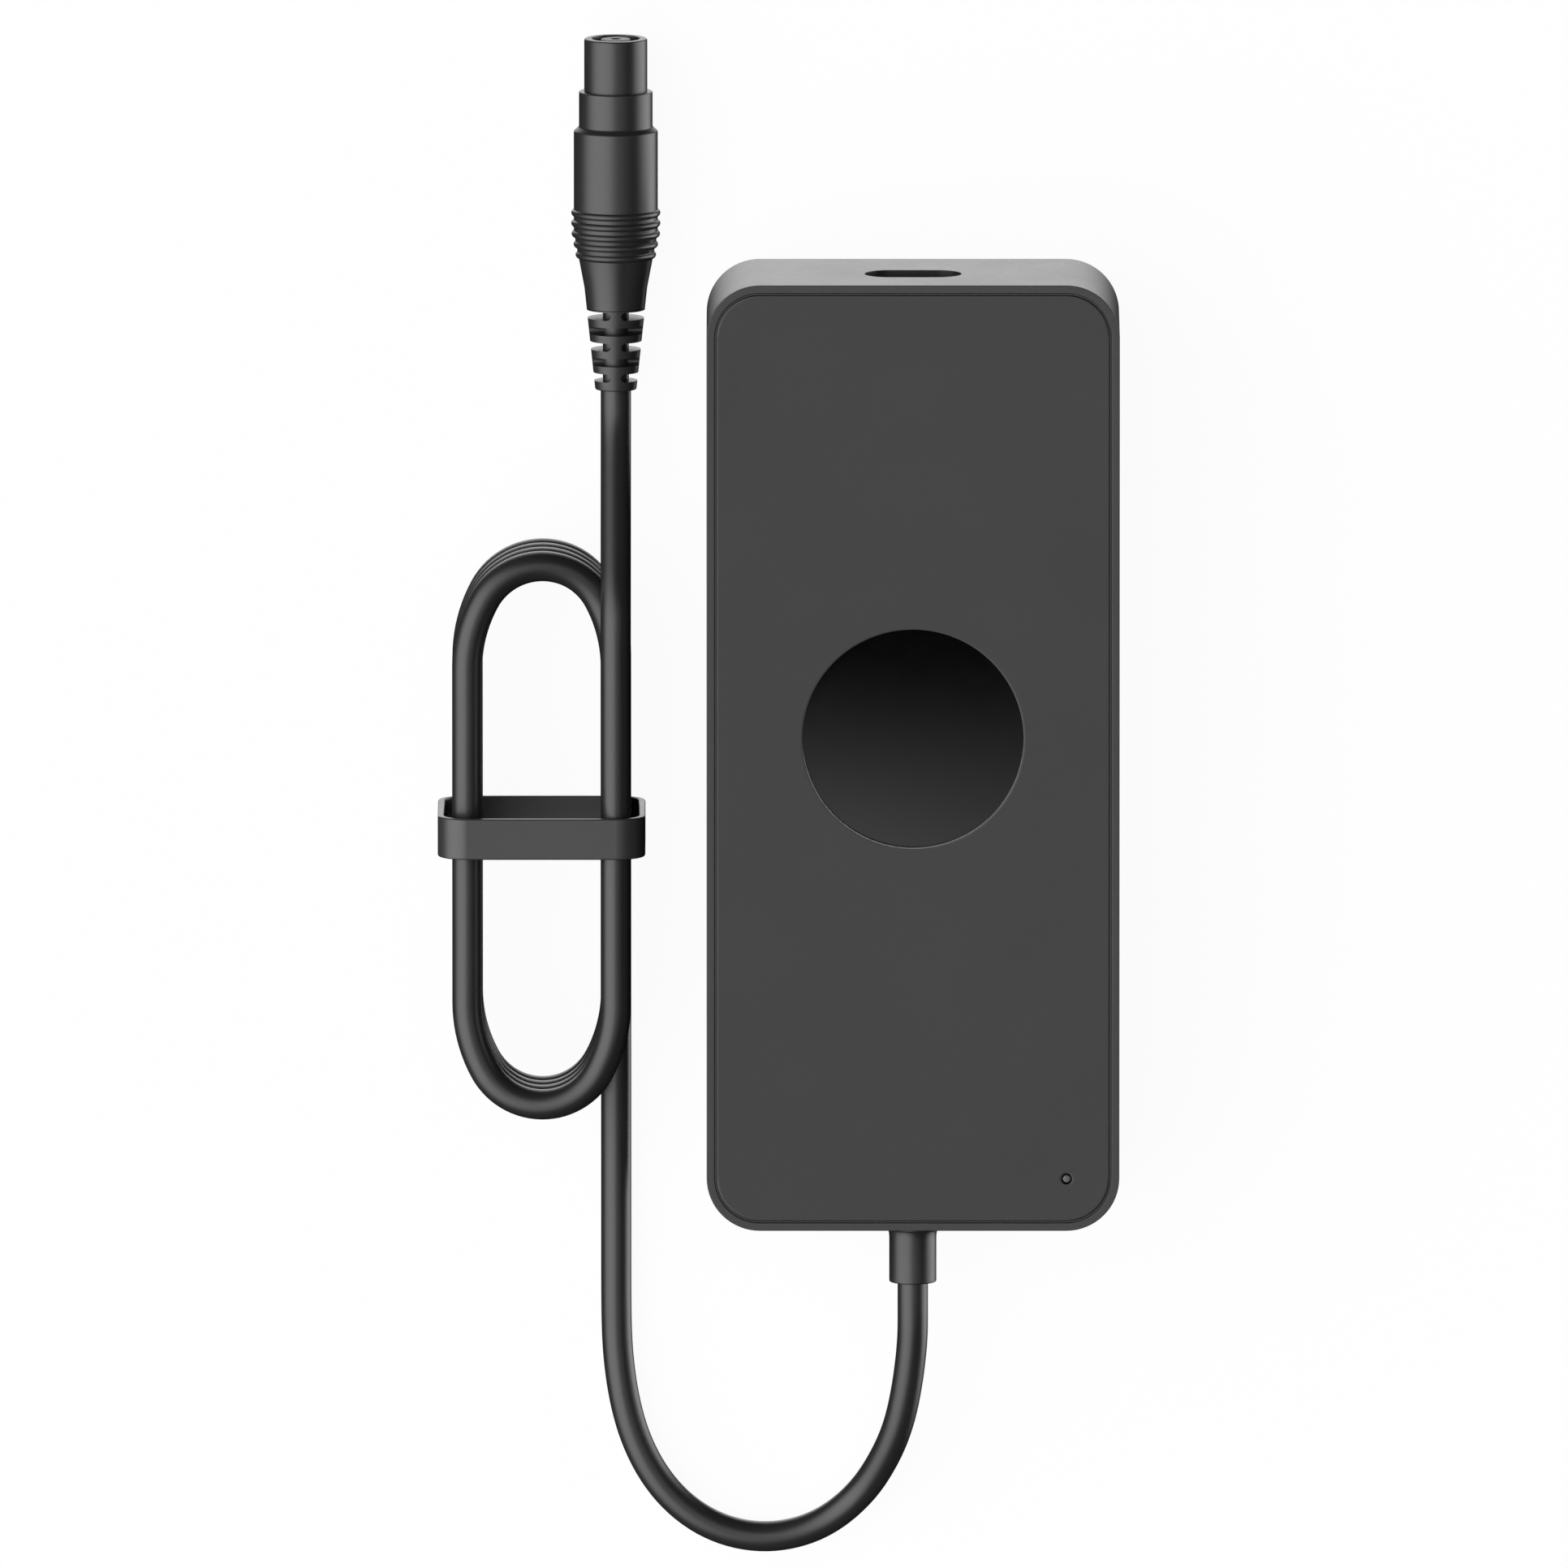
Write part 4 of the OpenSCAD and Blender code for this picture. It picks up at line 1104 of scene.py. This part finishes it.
# %% Finishes of the inner parts
GLOSS = {"matte_plastic": 0.45, "gloss_plastic": 0.18, "chrome": 0.2, "aluminium": 0.34, "brass": 0.3,
         "rubber": 0.5, "cast_iron": 0.6, "glass": 0.08}
METALS = ("chrome", "aluminium", "brass")


def bench_finish(row):
    """A material for one of the record's slots: its colour, mottled, with the gloss of its class."""
    paint = Finish(row["slot"] + "_finish")
    mottle = paint.noise(2.5 * MM, 3.0)
    grain = paint.noise(0.3 * MM, 2.0)
    base = row["base_color"][:3]
    darker = grey_colour(0.82, base)
    paler = [min(1, part) for part in grey_colour(1.12, base)]
    colour = paint.blend_colours(mottle * 1.5 + 0.5, darker, paler)
    gloss = mottle * 0.15 + GLOSS[row["class"]]
    metallic = 1.0 if row["class"] in METALS else 0.0
    return paint.surface(colour, gloss, paint.bump(grain, 0.01 * MM), metallic)


record = frame["record"]
finishes = {row["slot"]: bench_finish(row) for row in record["materials"]}
inner_nodes = [row for row in record["subparts"] if not frame["nodes"][row["node"]].hide_render]
for row in inner_nodes:
    node_mesh = frame["nodes"][row["node"]].data
    node_mesh.materials.clear()
    node_mesh.materials.append(finishes[row["material_slot"]])
print("inner parts dressed:", len(inner_nodes))

# %% [markdown]
# ## The studio
# Black plastic shows almost nothing of its own colour: what we see on it is its surroundings. So the
# lights are placed by what should be mirrored. One large soft light high on the left draws the broad pale
# band down each round form, and a weaker one overhead lifts the flat cover. The darkness to the right of
# them gives the forms their depth, and a light just under the right-hand horizon draws the bright rim
# there. The last one stands far below the inlet end and makes that end wall shine.
# Area lamps could do all this, but each would get in the way in some view. So all four are round glows
# on the sky, each with a direction, a size and a strength. The disc needs one thing more: a narrow dark
# gap overhead, towards the cord's end, for its face to mirror.

# %% Sky
world = bpy.data.worlds.new("studio")
scene.world = world
sky = Finish("studio", world)
toward = sky.node("ShaderNodeTexCoord", output="Generated")
WHITE = (1, 1, 1, 1)


def cosine(angle):
    return math.cos(math.radians(angle))


def sine(angle):
    return math.sin(math.radians(angle))


def fade(value, start, end):
    """Goes softly from 0 to 1 as a value goes from start to end."""
    softly = {"interpolation_type": "SMOOTHSTEP"}
    return sky.node("ShaderNodeMapRange", softly, {0: value, 1: start, 2: end})


def glow(from_zenith, azimuth, inner, outer, strength):
    """A round soft light on the sky: full to the inner angle, and gone at the outer one."""
    axis = (sine(from_zenith) * cosine(azimuth), sine(from_zenith) * sine(azimuth), cosine(from_zenith))
    dot = {"operation": "DOT_PRODUCT"}
    along = sky.node("ShaderNodeVectorMath", dot, {0: toward, 1: axis}, output="Value")
    return fade(along, cosine(outer), cosine(inner)) * strength


ray = sky.node("ShaderNodeSeparateXYZ", {}, {0: toward}, output=None)
key = glow(45.5, 186, 0, 60.8, 3.5)
overhead = glow(14.6, 23, 5, 31.4, 0.69)
low_right = glow(103, 2, 0, 43.5, 3.6)
low_back = glow(152.7, 94, 0, 36.6, 1.92)
gap_along = fade(-ray["Y"], sine(-4), sine(1)) * fade(-ray["Y"], sine(16.5), sine(5.4))
gap_across = fade(abs(ray["X"]), sine(7), sine(3.5))
gap = gap_along * gap_across * fade(ray["Z"], 0, 0.1)
lights = (key + overhead) * (1 - gap) + low_right + low_back
seen = sky.node("ShaderNodeBackground", {}, {"Color": WHITE, "Strength": 1.0})
around = sky.node("ShaderNodeBackground", {}, {"Color": WHITE, "Strength": lights})
for_camera = sky.node("ShaderNodeLightPath", output="Is Camera Ray")
sky.show(sky.node("ShaderNodeMixShader", {}, {0: for_camera, 1: around, 2: seen}))
print("the sky takes", len(sky.tree.nodes), "nodes")

# %% [markdown]
# ## The floor
# The floor is one white sheet. To the camera it mostly glows white by itself, and a small share of it is
# lit as paper would be, so that the adapter's soft shadow still lies on it. To the gloss of the plastic the
# floor is clear, which lets the two low lights shine from under the edge of the set, as they would
# round a glass table.

# %% Floor
FLOOR_SIZE = 6.0
PAPER_SHARE = 0.05
ground = bmesh.new()
bmesh.ops.create_grid(ground, x_segments=1, y_segments=1, size=FLOOR_SIZE / 2)
floor = add_mesh("floor", ground)
paint = Finish("white_paper")
lit = paint.node("ShaderNodeBsdfDiffuse", {}, {"Color": grey_colour(0.8)})
white = paint.node("ShaderNodeEmission", {}, {"Color": WHITE, "Strength": 1.0})
clear = paint.node("ShaderNodeBsdfTransparent")
for_camera = paint.node("ShaderNodeLightPath", output="Is Camera Ray")
for_gloss = paint.node("ShaderNodeLightPath", output="Is Glossy Ray")
backdrop = paint.node("ShaderNodeMixShader", {}, {0: PAPER_SHARE, 1: white, 2: lit})
bounced = paint.node("ShaderNodeMixShader", {}, {0: for_gloss, 1: lit, 2: clear})
paper = paint.node("ShaderNodeMixShader", {}, {0: for_camera, 1: bounced, 2: backdrop})
floor.data.materials.append(paint.show(paper))
print("the floor is", FLOOR_SIZE, "m wide")

# %% [markdown]
# ## The colour view
# The skin may not reach past the solids that it stands for. The colours are shown as they are,
# without a film look, because the lights are balanced for that.

# %% Finish
scene.view_settings.view_transform = "Standard"
